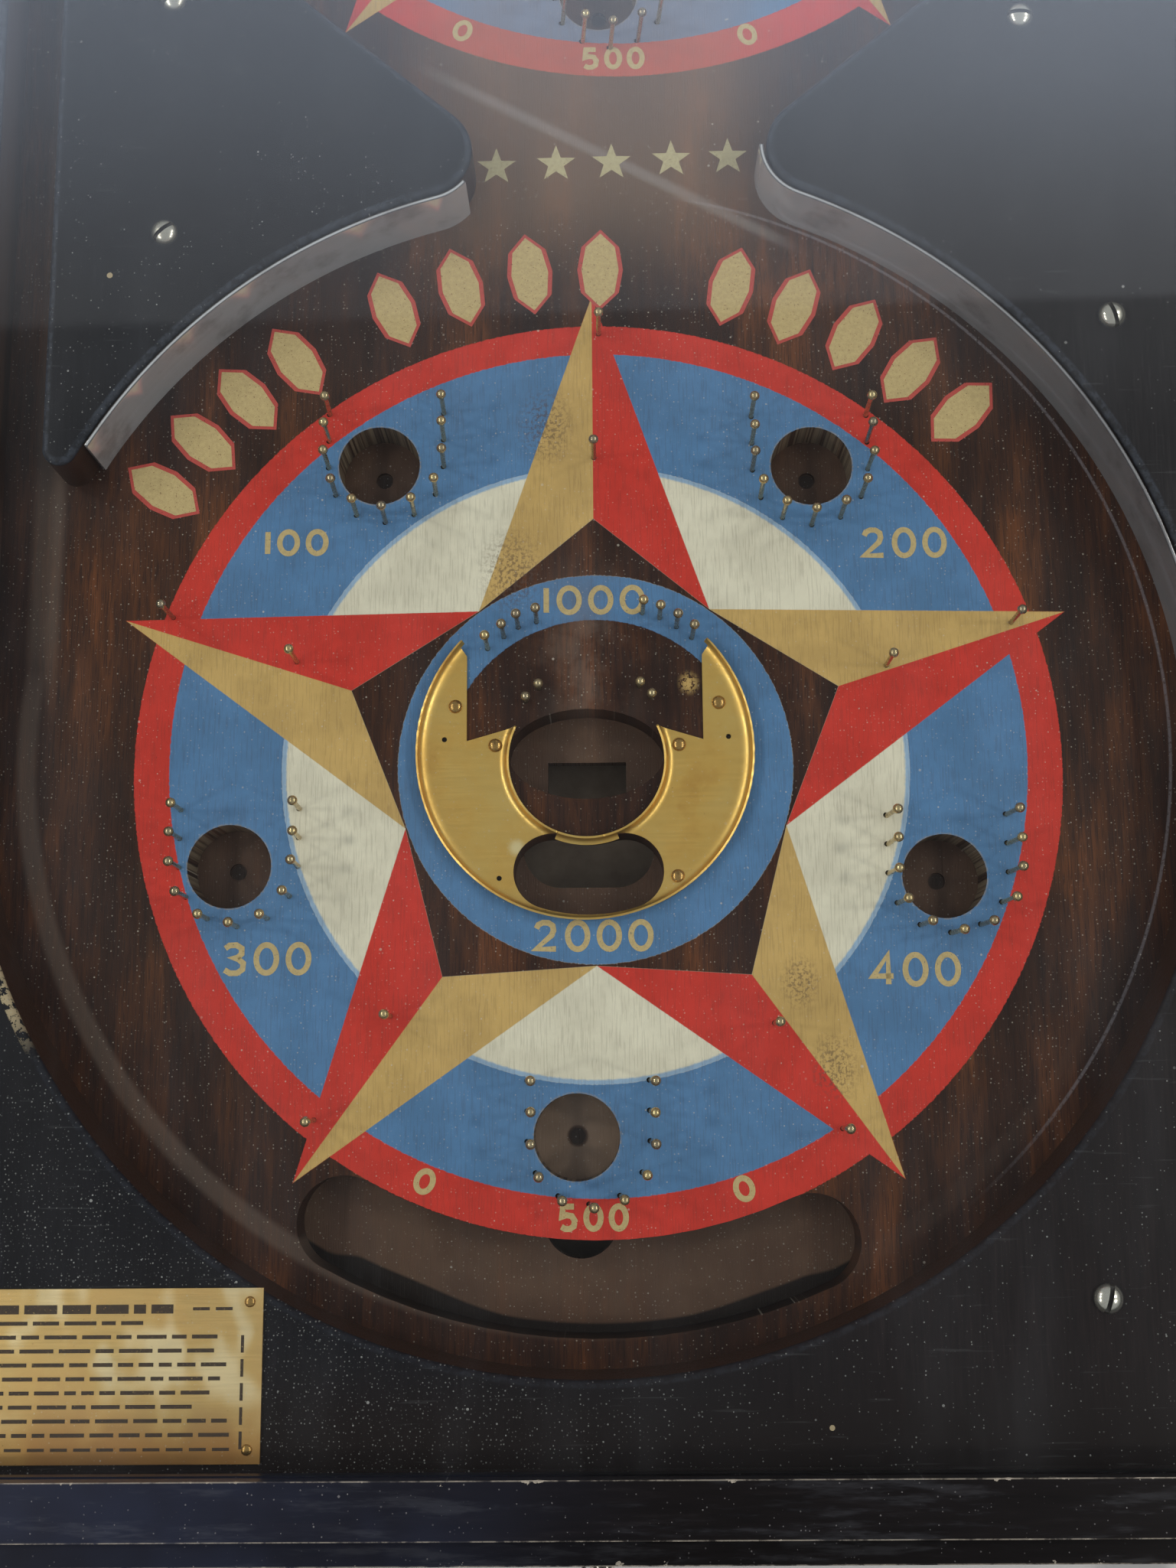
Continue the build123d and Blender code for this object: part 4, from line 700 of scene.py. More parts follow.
# The return tray's wood is painted paler than it is, as painted light where little light reaches it
special = {"shutter_board": shutterMaterial(),
           "return_tray": darkMaterial("trayPaintedLight", (150, 126, 106), (205, 180, 156), 0.5, 0.05)}
brassPins = metalMaterial("brassPins")
nailBrass = metalMaterial("nailBrass")


def dressNodes():
    slots = {row["node"]: row["material_slot"] for row in frame["record"]["subparts"]}
    for name, thing in nodes.items():
        thing.data.materials.clear()
        thing.data.materials.append(special.get(name, materials[slots[name]]))


dressNodes()
print("materials made")


# Geometry tools
def toMesh(shape, name):
    mesh = bpy.data.meshes.new(name)
    shape.to_mesh(mesh)
    shape.free()
    return mesh


def meshFrom(shape, name, smooth, sharp):
    # A mesh in the row frame from a bmesh in deck mm; level faces stay flat and open rims sharp
    shape.normal_update()
    for face in shape.faces:
        face.smooth = smooth and abs(face.normal.z) < 0.99999
    bmesh.ops.transform(shape, matrix=deckMatrix, verts=shape.verts)
    shape.edges.index_update()
    rims = [edge.index for edge in shape.edges if edge.is_boundary]
    mesh = toMesh(shape, name)
    if smooth:
        mesh.set_sharp_from_angle(angle=radians(sharp))
    for place in rims:
        mesh.edges[place].use_edge_sharp = True
    return mesh


def newPiece(name, mesh, material, stoodFor=()):
    mesh.materials.append(material)
    piece = newObject(name, mesh)
    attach(piece, "cabinet")
    if stoodFor:
        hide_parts(*stoodFor)
    return piece


def deckPiece(name, shape, material, stoodFor=(), smooth=True, sharp=35.0):
    return newPiece(name, meshFrom(shape, name, smooth, sharp), material, stoodFor)


def paintPiece(name, shape, material):
    return deckPiece(name, shape, material, smooth=False)


def apart(a, b):
    return hypot(a[0] - b[0], a[1] - b[1])


def around(centre, radius, angle):
    return (centre[0] + radius * cos(angle), centre[1] + radius * sin(angle))


def shifted(place, shift):
    return (place[0] + shift[0], place[1] + shift[1])


def sidesOf(loop):
    # Each place of a loop with the one after it
    return zip(loop, loop[1:] + loop[:1])


def middleOf(places):
    return tuple(sum(place[axis] for place in places) / len(places) for axis in (0, 1))


def loopsAt(name, w):
    # The outlines of a CAD node's flat face at a height, each loop with the material on its left
    points = [deckInverse @ vertex.co for vertex in nodes[name].data.vertices]
    found = {}
    for face in nodes[name].data.polygons:
        corners = [points[place] for place in face.vertices]
        if all(abs(end.z - w) < 0.02 for end in corners):
            keys = [(round(end.x, 2), round(end.y, 2)) for end in corners]
            if sum(a[0] * b[1] - b[0] * a[1] for a, b in sidesOf(keys)) < 0:
                keys.reverse()
            found.update(dict.fromkeys(sidesOf(keys)))
    following = {a: b for a, b in found if (b, a) not in found}
    loops = []
    while following:
        start, place = next(iter(following.items()))
        loop = [start]
        del following[start]
        while place != start and place in following:
            if apart(place, loop[-1]) > 0.25:
                loop.append(place)
            place = following.pop(place)
        if apart(loop[0], loop[-1]) < 0.25:
            loop.pop()
        loops.append(loop)
    return [loop for loop in loops if len(loop) > 2]


def corner(before, here, after):
    # The way to the left along a corner's bisector, and what an even distance is divided by there
    first = Vector((here[0] - before[0], here[1] - before[1]))
    second = Vector((after[0] - here[0], after[1] - here[1]))
    first = first.normalized() if first.length > 1e-6 else second.normalized()
    second = second.normalized() if second.length > 1e-6 else first
    left = Vector((-first.y - second.y, first.x + second.x))
    if left.length < 1e-6:
        left = Vector((-first.y, first.x))
    left.normalize()
    return left, left.dot(Vector((-first.y, first.x)))


def offset(loop, amount):
    # Moves a loop to its left by an amount, along the corners' bisectors
    moved = []
    for before, here, after in zip(loop[-1:] + loop[:-1], loop, loop[1:] + loop[:1]):
        left, spread = corner(before, here, after)
        reach = amount / max(0.4, spread)
        moved.append((here[0] + left.x * reach, here[1] + left.y * reach))
    return moved


def within(x, v, loops):
    # Whether a place lies on the sheet: inside the outer loop and outside the holes
    crossings = 0
    for loop in loops:
        for (x0, v0), (x1, v1) in sidesOf(loop):
            if (v0 > v) != (v1 > v) and x < x0 + (v - v0) * (x1 - x0) / (v1 - v0):
                crossings += 1
    return crossings % 2 == 1


def sheet(loops, extra, precision):
    # Triangles between loops and through extra points: the places, the points they come from, the faces
    points = [Vector(place) for loop in loops for place in loop] + extra
    edges = []
    for loop in loops:
        start = len(edges)
        edges += [(start + count, start + (count + 1) % len(loop)) for count in range(len(loop))]
    flat, _, faces, sources, *_ = delaunay_2d_cdt(points, edges, [], 0, precision)
    kept = [face for face in faces if within(*middleOf([flat[place] for place in face]), loops)]
    return flat, sources, kept


def fill(shape, rings):
    # Triangles between rings of vertices that lie in one level
    corners = [vertex for ring in rings for vertex in ring]
    flat, sources, faces = sheet([[tuple(vertex.co.xy) for vertex in ring] for ring in rings], [], 0.00001)
    made = [corners[found[0]] if found else shape.verts.new((*place, corners[0].co.z))
            for place, found in zip(flat, sources)]
    for face in faces:
        shape.faces.new([made[place] for place in face])


def bridge(shape, rings):
    # Faces between rings of as many vertices; a ring of one vertex is a tip
    for lower, upper in zip(rings, rings[1:]):
        size = max(len(lower), len(upper))
        for place in range(size):
            following = (place + 1) % size
            corners = dict.fromkeys((lower[place % len(lower)], lower[following % len(lower)],
                                     upper[following % len(upper)], upper[place % len(upper)]))
            shape.faces.new(list(corners))


def roundedPlate(loops, high, roundness, steps):
    # A flat piece from its loops, its upper edges rounded, with how far up the rounding as "edge"
    shape = bmesh.new()
    edge = shape.verts.layers.float.new("edge")
    profile = [(0.0, 0.0, 0.0), (0.0, high - roundness * 1.6, 0.0), (0.0, high - roundness, 0.5)]
    for count in range(1, steps + 1):
        angle = count / steps * pi / 2
        profile.append((roundness * (1 - cos(angle)), high - roundness + roundness * sin(angle), 1.0))
    profile.append((roundness * 1.9, high, 0.0))
    ends = []
    for loop in loops:
        rings = []
        for inset, w, share in profile:
            ring = [shape.verts.new((*place, w)) for place in offset(loop, inset)]
            for vertex in ring:
                vertex[edge] = share
            rings.append(ring)
        bridge(shape, rings)
        ends.append((rings[0], rings[-1]))
    for rings in zip(*ends):
        fill(shape, rings)
    bmesh.ops.recalc_face_normals(shape, faces=shape.faces)
    return shape


def arch(radius, base, rise, angles):
    # The quarter of an ellipse as (radius, height) points
    return [(radius * cos(angle), base + rise * sin(angle)) for angle in map(radians, angles)]


def lathe(shape, profile, segments, place=(0.0, 0.0), lean=(0.0, 0.0)):
    # A turned form about an upright axis from (radius, height) points, its top moved aside by the lean
    rings = []
    top = profile[-1][1]
    for radius, height in profile:
        share = max(0.0, height / top)
        centre = (place[0] + lean[0] * share, place[1] + lean[1] * share)
        spokes = segments if radius > 0 else 1
        rings.append([shape.verts.new((*around(centre, radius, 2 * pi * count / segments), height))
                      for count in range(spokes)])
    bridge(shape, rings)


def standing(name):
    # Place and top of each upright solid of a group node
    shape = bmesh.new()
    shape.from_mesh(nodes[name].data)
    bmesh.ops.remove_doubles(shape, verts=shape.verts, dist=1e-6)
    left = set(shape.verts)
    rows = []
    while left:
        found = []
        ahead = [left.pop()]
        while ahead:
            vertex = ahead.pop()
            found.append(deckInverse @ vertex.co)
            for edge in vertex.link_edges:
                other = edge.other_vert(vertex)
                if other in left:
                    left.remove(other)
                    ahead.append(other)
        low, high = [[pick(point[axis] for point in found) for axis in range(3)] for pick in (min, max)]
        rows.append(((low[0] + high[0]) / 2, (low[1] + high[1]) / 2, high[2]))
    shape.free()
    # Sorted, so that every run makes them in the same order
    return sorted(rows)


# Raised panels with rounded, rubbed edges that carry a painted highlight, and the steel strips
plateHeight = 19.0
plates = [{"nodes": ["left_island", "right_panel", "lower_panel", "left_strip", "top_arch"],
           "prefix": "rounded_", "slot": "black_panel", "round": 1.5, "steps": 4},
          {"nodes": ["left_band", "right_band", "arch_band"],
           "prefix": "smooth_", "slot": "steel_strip", "round": 0.25, "steps": 2}]
for facts in plates:
    for name in facts["nodes"]:
        shape = roundedPlate(loopsAt(name, plateHeight), plateHeight, facts["round"], facts["steps"])
        deckPiece(facts["prefix"] + name, shape, materials[facts["slot"]], [name])
print("panels made")

# Round-headed pins, cup nails and plate pins, and how far the pins at each pocket lean
pins = {
    "playfield_pins": {"shank": 0.7, "head": 1.45, "height": 1.45, "foot": -6.0, "segments": 14},
    "cup_nails": {"shank": 0.7, "head": 2.0, "height": 1.2, "foot": -6.0, "segments": 18},
    "plate_pins": {"shank": 0.7, "head": 1.45, "height": 0.725, "foot": 14.0, "segments": 14},
}
pinCrown = (12, 30, 48, 66, 80)
fences = {"reach": 26.0, "leans": [(0.9, 0.15), (-0.2, 0.5), (0.65, -0.1), (1.0, -0.3), (1.5, -0.3)],
          "loose": 0.25}


def makePin(shape, facts, place, top, lean=(0.0, 0.0)):
    shank = facts["shank"]
    head = facts["head"]
    neck = top - facts["height"]
    profile = [(0.0, facts["foot"]), (shank, facts["foot"]), (shank, neck - 0.1), (head * 0.9, neck - 0.05),
               (head, neck), *arch(head, neck, facts["height"], pinCrown), (0.0, top)]
    lathe(shape, profile, facts["segments"], place, lean)


def pinLean(place):
    # The pins round a pocket were driven a little aslant, each fence its own way
    if place[1] > upperStar[1] / 2:
        place = (place[0] - upperStar[0], place[1] - upperStar[1])
    loose = tuple(random.uniform(-fences["loose"], fences["loose"]) for _ in range(2))
    for pocket, lean in zip(boardPlaces["pockets"], fences["leans"]):
        if apart(place, pocket) < fences["reach"]:
            return shifted(lean, loose)
    return loose


def makePins():
    random.seed(11)
    shape = bmesh.new()
    tone = shape.verts.layers.float.new("tone")
    for x, v, top in standing("playfield_pins"):
        before = len(shape.verts)
        makePin(shape, pins["playfield_pins"], (x, v), top, pinLean((x, v)))
        shape.verts.ensure_lookup_table()
        # Some heads have kept their gold and others have gone grey
        grey = random.uniform(0.0, 0.9)
        for vertex in shape.verts[before:]:
            vertex[tone] = grey
    deckPiece("smooth_pins", shape, brassPins, ["playfield_pins"])
    for name in ("cup_nails", "plate_pins"):
        shape = bmesh.new()
        for x, v, top in standing(name):
            makePin(shape, pins[name], (x, v), top)
        deckPiece("smooth_" + name, shape, nailBrass, [name])


makePins()
print("pins made")

# Slotted round-head screws; the ones in the photograph have their slots turned as seen there
screw = {"head": 3.85, "height": 2.9, "rim": 0.3, "shank": 2.0, "foot": -8.0, "slot": 1.2, "depth": 1.35,
         "crown": (6, 18, 30, 42, 54, 66, 78), "segments": 32, "turn": 7.0,
         "seen": [((-124.4, 156.1), 40.0), ((149.8, 127.1), 108.0), ((133.0, -146.0), 75.0)]}
# Painted shade: the screws' slots are painted dark
slotShade = darkMaterial("slotShade", (30, 25, 22), (58, 50, 44), 0.5, 1.0)


def makeScrew(top):
    # One screw on the axis, its slot's faces in the second material
    head = screw["head"]
    shank = screw["shank"]
    foot = screw["foot"]
    seat = top - screw["height"]
    rim = seat + screw["rim"]
    profile = [(0.0, foot), (shank, foot), (shank, seat), (head * 0.97, seat), (head, rim),
               *arch(head, rim, screw["height"] - screw["rim"], screw["crown"]), (0.0, top)]
    turned = bmesh.new()
    lathe(turned, profile, screw["segments"])
    body = newObject("screwBody", toMesh(turned, "screwBody"))
    slot = bmesh.new()
    bmesh.ops.create_cube(slot, size=1.0)
    bmesh.ops.scale(slot, vec=(4 * head, screw["slot"], 2 * screw["depth"]), verts=slot.verts)
    bmesh.ops.translate(slot, vec=(0, 0, top), verts=slot.verts)
    cutter = newObject("screwSlot", toMesh(slot, "screwSlot"))
    cut = body.modifiers.new("slot", "BOOLEAN")
    cut.object = cutter
    cut.operation = "DIFFERENCE"
    bpy.context.view_layer.update()
    done = bpy.data.meshes.new_from_object(body.evaluated_get(bpy.context.evaluated_depsgraph_get()))
    for face in done.polygons:
        face.material_index = int(abs(face.center.y) < screw["slot"] / 2 + 0.01)
    bpy.data.objects.remove(body)
    bpy.data.objects.remove(cutter)
    return done


def makeScrews():
    made = bmesh.new()
    for x, v, top in standing("panel_screws"):
        angle = screw["turn"] * x % 180
        for place, seenAngle in screw["seen"]:
            if apart((x, v), place) < 5.0:
                angle = seenAngle
        done = makeScrew(top)
        done.transform(Matrix.Translation((x, v, 0)) @ Matrix.Rotation(radians(angle), 4, "Z"))
        made.from_mesh(done)
    piece = deckPiece("slotted_screws", made, materials["nickel"], ["panel_screws"])
    piece.data.materials.append(slotShade)


makeScrews()
print("screws made")

# Brass cups: the sheet dishes up to a thin lip outside and round the middle opening
cup = {"centre": (-2.9, 4.1), "lipCentre": (-2.5, 1.5), "lipRadius": 22.8, "rise": 2.4, "sheet": 0.8,
       "rings": (0.06, 0.16, 0.3, 0.46, 0.64, 0.82, 1.0), "spacing": 1.2, "grid": 4.0,
       "bridge": (-112, -68), "bridgeRings": (0.0, 0.15, 0.4, 0.75, 1.15, 1.6)}
# Each lip's centre and radius, and how far its rounding reaches outward
cupLips = [(cup["centre"], 47.9, -4.2), (cup["lipCentre"], cup["lipRadius"], 2.6)]


def rounder(loop):
    # More points along a loop, on the lip's circle where it follows one
    points = []
    for a, b in sidesOf(loop):
        parts = int(apart(a, b) / 0.8) + 1
        lips = [lip for lip in cupLips if all(abs(apart(end, lip[0]) - lip[1]) < 0.06 for end in (a, b))]
        for count in range(parts):
            place = tuple(a[axis] + (b[axis] - a[axis]) * count / parts for axis in (0, 1))
            for centre, radius, _ in lips:
                scale = radius / apart(place, centre)
                place = tuple(centre[axis] + (place[axis] - centre[axis]) * scale for axis in (0, 1))
            points.append(place)
    return points


def cupRise(place):
    # How far the sheet stands above its flat: quarter rounds up to both lips
    rises = []
    for centre, radius, reach in cupLips:
        share = min(1.0, max(0.0, 1 - (apart(place, centre) - radius) / reach))
        rises.append(cup["rise"] * (1 - sqrt(1 - share ** 2)))
    return max(rises)


def makeCup(name, shift):
    loops = [rounder([(x - shift[0], v - shift[1]) for x, v in loop]) for loop in loopsAt(name, 0.0)]
    extra = []
    for centre, radius, reach in cupLips:
        for share in cup["rings"]:
            ring = radius + reach * share
            count = int(2 * pi * ring / cup["spacing"])
            for step in range(count):
                place = around(centre, ring, 2 * pi * step / count)
                if within(*place, loops) and min(apart(place, end) for loop in loops for end in loop) > 0.3:
                    extra.append(Vector(place))
    for step in range(-12, 13):
        for rank in range(-12, 13):
            place = shifted(cup["centre"], (step * cup["grid"], rank * cup["grid"]))
            if within(*place, loops) and cupRise(place) == 0.0:
                extra.append(Vector(place))
    flat, _, faces = sheet(loops, extra, 0.0001)
    shape = bmesh.new()
    made = [shape.verts.new((*shifted(place, shift), cup["sheet"] + cupRise(place))) for place in flat]
    for face in faces:
        shape.faces.new([made[place] for place in face])
    # The inner lip runs on above the kidney opening
    low, high = cup["bridge"]
    rows = []
    for angle in range(low, high + 1, 2):
        places = [around(cup["lipCentre"], cup["lipRadius"] + beyond, radians(angle))
                  for beyond in cup["bridgeRings"]]
        rows.append([shape.verts.new((*shifted(place, shift), cup["sheet"] - 0.03 + cupRise(place)))
                     for place in places])
    for first, second in zip(rows, rows[1:]):
        for place in range(len(first) - 1):
            shape.faces.new((first[place], first[place + 1], second[place + 1], second[place]))
    loose = [vertex for vertex in shape.verts if not vertex.link_faces]
    bmesh.ops.delete(shape, geom=loose, context="VERTS")
    shape.normal_update()
    bmesh.ops.reverse_faces(shape, faces=[face for face in shape.faces if face.normal.z < 0])
    piece = deckPiece("dished_" + name, shape, materials["brass"], [name], sharp=60.0)
    thick = piece.modifiers.new("thickness", "SOLIDIFY")
    thick.thickness = 0.0006
    thick.offset = -1.0


makeCup("lower_cup", (0.0, 0.0))
makeCup("upper_cup", upperStar)
print("cups made")

# Painted numerals, small stars and the bars above the lower star
numerals = {
    "0": [around((0.5, 0.5), 0.5, step * pi / 12) for step in range(25)],
    "1": [(0.5, 0.0), (0.5, 1.0)],
    "2": [(0.02, 0.78), (0.12, 0.92), (0.35, 1.0), (0.62, 0.99), (0.84, 0.88), (0.88, 0.7), (0.78, 0.52),
          (0.0, 0.02), (1.0, 0.02)],
    "3": [(0.05, 0.88), (0.25, 0.99), (0.6, 1.0), (0.86, 0.88), (0.86, 0.68), (0.65, 0.55), (0.4, 0.54),
          (0.7, 0.5), (0.95, 0.35), (0.92, 0.13), (0.65, 0.0), (0.3, 0.0), (0.03, 0.12)],
    "4": [(0.75, 0.0), (0.75, 1.0), (0.0, 0.28), (1.0, 0.28)],
    "5": [(0.9, 1.0), (0.15, 1.0), (0.08, 0.55), (0.4, 0.62), (0.75, 0.57), (0.95, 0.36), (0.88, 0.12),
          (0.6, 0.0), (0.3, 0.0), (0.03, 0.1)],
}
numeralSpace = {"one": 0.32, "gap": 0.24}
printHeight = 0.05
goldPrint = printMaterial("goldPrint", (196, 172, 118), 0.92)
paleGoldPrint = printMaterial("paleGoldPrint", (190, 176, 132), 0.9)
redPrint = printMaterial("redPrint", (188, 62, 54), 0.92)
inkPrint = printMaterial("inkPrint", (46, 32, 22), 0.9)


def ribbon(shape, path, width, w):
    # A flat stroke of even width along a path
    closed = apart(path[0], path[-1]) < 1e-4
    points = path[:-1] if closed else path
    rows = []
    for place, point in enumerate(points):
        before = points[place - 1] if place or closed else point
        after = points[(place + 1) % len(points)] if place + 1 < len(points) or closed else point
        left, spread = corner(before, point, after)
        reach = width / 2 / max(0.5, spread)
        rows.append([shape.verts.new((point[0] + side * left.x * reach, point[1] + side * left.y * reach, w))
                     for side in (1, -1)])
    pairs = list(zip(rows, rows[1:]))
    if closed:
        pairs.append((rows[-1], rows[0]))
    for low, high in pairs:
        shape.faces.new((low[0], low[1], high[1], high[0]))


def number(shape, text, place, size, turn=0.0, w=printHeight, stroke=1.6):
    # Numerals in a row about their middle, size being the row's width and height
    total, height = size
    shares = [numeralSpace["one"] if letter == "1" else 1.0 for letter in text]
    unit = total / (sum(shares) + numeralSpace["gap"] * (len(text) - 1))
    start = -total / 2
    turned = Matrix.Rotation(radians(turn), 2)
    for letter, share in zip(text, shares):
        wide = max(unit * share - stroke, 0.01)
        points = [Vector((start + stroke / 2 + x * wide, (v - 0.5) * (height - stroke)))
                  for x, v in numerals[letter]]
        ribbon(shape, [shifted(place, turned @ point) for point in points], stroke, w)
        start += unit * (share + numeralSpace["gap"])


scores = [("100", (-87.3, 67.6), (19.0, 8.3), 0.0), ("200", (90.9, 65.7), (25.0, 9.5), 0.0),
          ("300", (-93.2, -54.4), (25.5, 9.5), 0.0), ("400", (89.4, -58.8), (25.5, 9.8), 0.0),
          ("500", (-1.5, -126.0), (19.5, 7.6), 0.0), ("1000", (-0.1, 49.3), (30.0, 9.0), 0.0),
          ("2000", (-0.9, -48.6), (34.0, 9.2), 0.0), ("0", (-48.0, -116.0), (6.0, 7.4), -24.0),
          ("0", (40.0, -118.5), (6.0, 7.4), 20.0)]
smallStars = {"places": [(-28.7, 186.2), (-10.5, 187.0), (6.4, 187.3), (24.6, 188.1), (41.9, 188.6)],
              "outer": 6.2, "inner": 2.5}
goldBars = {"low": 140.5, "high": 164.0, "half": 4.4, "waist": 5.6, "line": 1.3,
            "angles": [146.5, 139.5, 132.5, 125.5, 113.0, 105.0, 97.0, 89.0, 74.0, 66.5, 59.0, 51.5, 44.0]}


def makeScores():
    gold = bmesh.new()
    for shift in ((0.0, 0.0), upperStar):
        for text, place, size, turn in scores:
            number(gold, text, shifted(place, shift), size, turn)
    paintPiece("painted_scores", gold, goldPrint)


def makeSmallStars():
    pale = bmesh.new()
    for centre in smallStars["places"]:
        ring = []
        for count in range(10):
            place = around(centre, smallStars["inner" if count % 2 else "outer"], pi / 2 + count * pi / 5)
            ring.append(pale.verts.new((*place, printHeight)))
        middle = pale.verts.new((*centre, printHeight))
        for a, b in sidesOf(ring):
            pale.faces.new((a, b, middle))
    paintPiece("painted_small_stars", pale, paleGoldPrint)


def lozenge(shape, angle, grow, w):
    # A waisted bar that points away from the star's centre
    low = goldBars["low"] - grow
    high = goldBars["high"] + grow
    middle = (low + high) / 2
    half = goldBars["half"] + grow
    waist = goldBars["waist"] + grow
    outline = [(low, 0.0), (low + half, -half), (middle, -waist), (high - half, -half), (high, 0.0),
               (high - half, half), (middle, waist), (low + half, half)]
    turn = radians(angle)
    shape.faces.new([shape.verts.new((r * cos(turn) - s * sin(turn), r * sin(turn) + s * cos(turn), w))
                     for r, s in outline])


def makeBars():
    red = bmesh.new()
    gold = bmesh.new()
    for angle in goldBars["angles"]:
        lozenge(red, angle, goldBars["line"], printHeight)
        lozenge(gold, angle, 0.0, 2 * printHeight)
    paintPiece("painted_bar_outlines", red, redPrint)
    paintPiece("painted_bars", gold, goldPrint)


makeScores()
makeSmallStars()
makeBars()
print("printing made")

# The plate's dashed border, rows of bars and plain numerals; the first row stands in the border's upper side
marks = {"left": -184.4, "right": -93.2, "low": -182.3, "high": -147.2, "top": 19.8, "dash": 4.4, "gap": 1.6,
         "border": 0.8, "rows": 10, "foot": 3.6, "line": 1.0, "broad": 2.3, "openEnd": 14.0,
         "bars": (3.0, 9.0), "barGap": 1.4, "indent": 7.5, "shortIndent": 26.0, "shortEnd": 25.0,
         "raggedEnd": (2.0, 8.0), "numeralIndent": 4.2, "numeral": (1.6, 2.4), "stroke": 0.42}


def makeBorder(ink, w):
    dash = marks["dash"]
    step = dash + marks["gap"]
    for count in range(int((marks["right"] - marks["left"]) / step)):
        x = marks["left"] + count * step
        for v in (marks["low"], marks["high"]):
            if v == marks["low"] or x > marks["right"] - marks["openEnd"]:
                ribbon(ink, [(x, v), (x + dash, v)], marks["border"], w)
    for count in range(int((marks["high"] - marks["low"]) / step)):
        v = marks["low"] + count * step
        for x in (marks["left"], marks["right"]):
            ribbon(ink, [(x, v), (x, v + dash)], marks["border"], w)


def makePlateMarks():
    random.seed(5)
    ink = bmesh.new()
    w = marks["top"] + printHeight
    makeBorder(ink, w)
    for row in range(marks["rows"]):
        # The first row is broad and lies on the border's own line, and the second is a short one
        v = marks["high"] - row * (marks["high"] - marks["low"] - marks["foot"]) / (marks["rows"] - 1)
        x = marks["left"] + marks["shortIndent" if row == 1 else "indent"]
        width = marks["line"]
        if row == 0:
            last = marks["right"] - marks["openEnd"]
            width = marks["broad"]
        elif row == 1:
            last = marks["right"] - marks["shortEnd"]
        else:
            least, ragged = marks["raggedEnd"]
            last = marks["right"] - (least + ragged * random.random())
            if row % 2 == 0:
                place = (marks["left"] + marks["numeralIndent"], v)
                number(ink, str(row // 2), place, marks["numeral"], 0.0, w, marks["stroke"])
        while x < last - marks["bars"][0]:
            following = min(last, x + random.uniform(*marks["bars"]))
            ribbon(ink, [(x, v), (following, v)], width, w)
            x = following + marks["barGap"]
    paintPiece("plate_marks", ink, inkPrint)


makePlateMarks()
print("plate marks made")

# Coil springs: one smooth wire each, its end turns closed
springs = {
    "plunger_spring": {"lean": 9.0784, "turns": 14, "wire": 1.2, "joint": "plunger_slide", "stroke": 38.0,
                       "stays": "low"},
    "button_spring": {"lean": 4.0, "turns": 6, "wire": 0.9, "joint": "button_slide", "stroke": 11.0,
                      "stays": "high"},
}
coilSteps = 28
wireSides = 8


def makeSpring(name, facts):
    turned = Matrix.Rotation(radians(facts["lean"]), 3, "X")
    points = [turned.inverted() @ vertex.co * 1000 for vertex in nodes[name].data.vertices]
    low, high = [Vector([pick(point[axis] for point in points) for axis in range(3)]) for pick in (min, max)]
    wire = facts["wire"]
    coil = (high.x - low.x) / 2 - wire / 2
    middle = (low + high) / 2
    length = high.y - low.y - wire
    closed = wire * 1.15
    pitch = (length - 2 * closed) / (facts["turns"] - 2)
    along = Vector((0, 1, 0))
    shape = bmesh.new()
    rings = []
    for count in range(coilSteps * facts["turns"] + 1):
        share = count / coilSteps
        rest = facts["turns"] - share
        if share < 1:
            height = closed * share
        elif rest < 1:
            height = length - closed * rest
        else:
            height = closed + pitch * (share - 1)
        out = Vector((cos(2 * pi * share), 0.0, sin(2 * pi * share)))
        centre = Vector((middle.x, low.y + wire / 2 + height, middle.z)) + out * coil
        spokes = [around((0, 0), wire / 2, 2 * pi * place / wireSides) for place in range(wireSides)]
        rings.append([shape.verts.new(turned @ (centre + out * side + along * rise) / 1000)
                      for side, rise in spokes])
    bridge(shape, rings)
    for ring in (rings[0], list(reversed(rings[-1]))):
        shape.faces.new(ring)
    bmesh.ops.recalc_face_normals(shape, faces=shape.faces)
    mesh = toMesh(shape, "wound_" + name)
    mesh.polygons.foreach_set("use_smooth", [True] * len(mesh.polygons))
    piece = newPiece("wound_" + name, mesh, materials["spring_steel"], [name])
    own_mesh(piece)


for name, facts in springs.items():
    makeSpring(name, facts)
print("springs made")

# Stage, surroundings and lamps
stage = {"floor": tint(214, 212, 208), "cloud": tint(196, 194, 190), "size": 9.0}
# What reflections meet: from and to which angle up the field, in degrees, and the light at both
sky = {"window": (20.0, 24.5, 0.02, 0.22), "edge": (24.8, 25.1, 0.0, 0.3), "glow": (24.0, 38.0, 0.0, 1.8),
       "top": (35.5, 42.0, 1.0, 0.2), "blue": (20.0, 34.0, 0.0, 1.0), "edgeTilt": -0.014,
       "sideways": (-0.42, 0.42, 0.8, 1.28), "leftmost": (-0.35, -0.385, 1.0, 1.5), "paneDepth": 2.5,
       "around": 0.72, "overhead": 0.5}
lamps = {"side": 780.0, "height": 760.0, "places": [-380.0, 20.0, 430.0], "aim": (0.0, 20.0, 0.0),
         "size": 0.1, "power": 1.7, "colour": tint(255, 250, 244)[:3]}


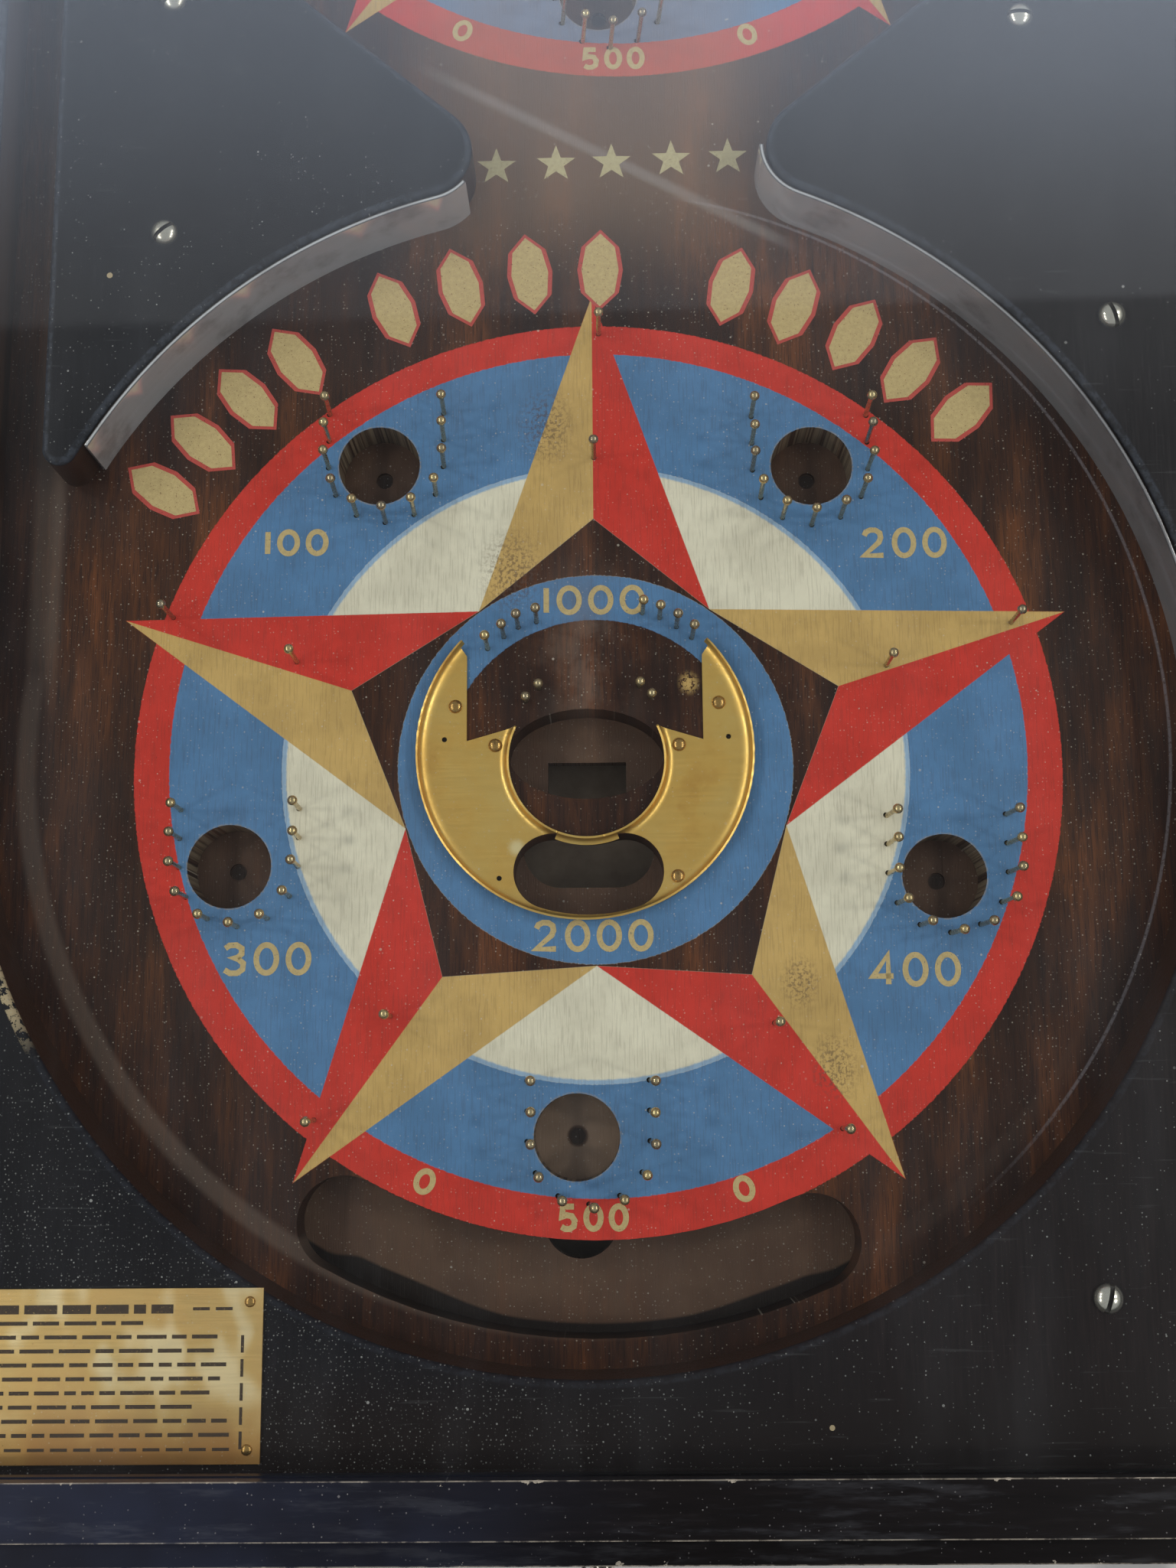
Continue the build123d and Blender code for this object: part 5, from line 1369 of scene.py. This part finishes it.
def makeStage():
    shape = bmesh.new()
    half = stage["size"] / 2
    corners = ((-half, -half), (half, -half), (half, half), (-half, half))
    shape.faces.new([shape.verts.new((*place, 0.0)) for place in corners])
    material, graph = newMaterial("paleFloor")
    shade = graph.noise(graph.add("TexCoord", {}, "Object"), 3.0, 3.0)
    colour = graph.coat(stage["floor"], stage["cloud"], graph.step(shade, 0.3, 0.7), 0.1)
    graph.finish({"Base Color": colour, "Roughness": 0.7})
    floor = newObject("floor", toMesh(shape, "floor"))
    floor.data.materials.append(material)


def makeWorld():
    world = bpy.data.worlds.new("studio")
    world.use_nodes = True
    scene.world = world
    graph = Graph(world.node_tree)

    def leans(value, name):
        low, high, start, end = sky[name]
        return graph.step(value, radians(low), radians(high), start, end)

    def background(colour, strength):
        return graph.add("Background", {"Color": colour, "Strength": strength})

    ways = graph.add("TexCoord", {}, "Generated")
    turned = graph.add("VectorRotate", {"Vector": ways, "Angle": -slope}, rotation_type="X_AXIS")
    x, v, w = graph.parts(turned)
    lean = graph.calc("ARCTAN2", v, w)
    sideways = graph.calc("DIVIDE", x, w)
    tilted = graph.plus(lean, graph.times(sideways, sky["edgeTilt"]))
    level = graph.plus(leans(lean, "window"), leans(tilted, "edge"), leans(lean, "glow"))
    level = graph.times(level, graph.step(sideways, *sky["sideways"]), graph.step(sideways, *sky["leftmost"]),
                        leans(lean, "top"))
    shine = graph.blend(leans(lean, "blue"), tint(235, 232, 232), tint(226, 236, 255))
    # Reflections on what lies under the pane see a plain level instead
    under = graph.calc("GREATER_THAN", graph.add("LightPath", {}, "Transparent Depth"), sky["paneDepth"])
    mirrored = graph.add("MixShader", {0: under, 1: background(shine, level),
                                       2: background(tint(246, 248, 252), sky["overhead"])})
    glossy = graph.add("LightPath", {}, "Is Glossy Ray")
    plain = background(tint(242, 244, 250), sky["around"])
    first = graph.add("MixShader", {0: glossy, 1: plain, 2: mirrored})
    seen = graph.add("LightPath", {}, "Is Camera Ray")
    second = graph.add("MixShader", {0: seen, 1: first, 2: background(tint(250, 250, 250), 1.0)})
    graph.surface(second, "World Output")


def makeLamps():
    for side in (-1, 1):
        for v in lamps["places"]:
            name = f"lamp_{side}_{v}"
            data = bpy.data.lights.new(name, "AREA")
            data.size = lamps["size"]
            data.energy = lamps["power"]
            data.color = lamps["colour"]
            lamp = newObject(name, data)
            lamp.location = deckPoint(side * lamps["side"], v, lamps["height"])
            lamp.rotation_mode = "QUATERNION"
            lamp.rotation_quaternion = (deckPoint(*lamps["aim"]) - lamp.location).to_track_quat("-Z", "Y")


makeStage()
makeWorld()
makeLamps()
scene.view_settings.view_transform = "Standard"
print("stage made")
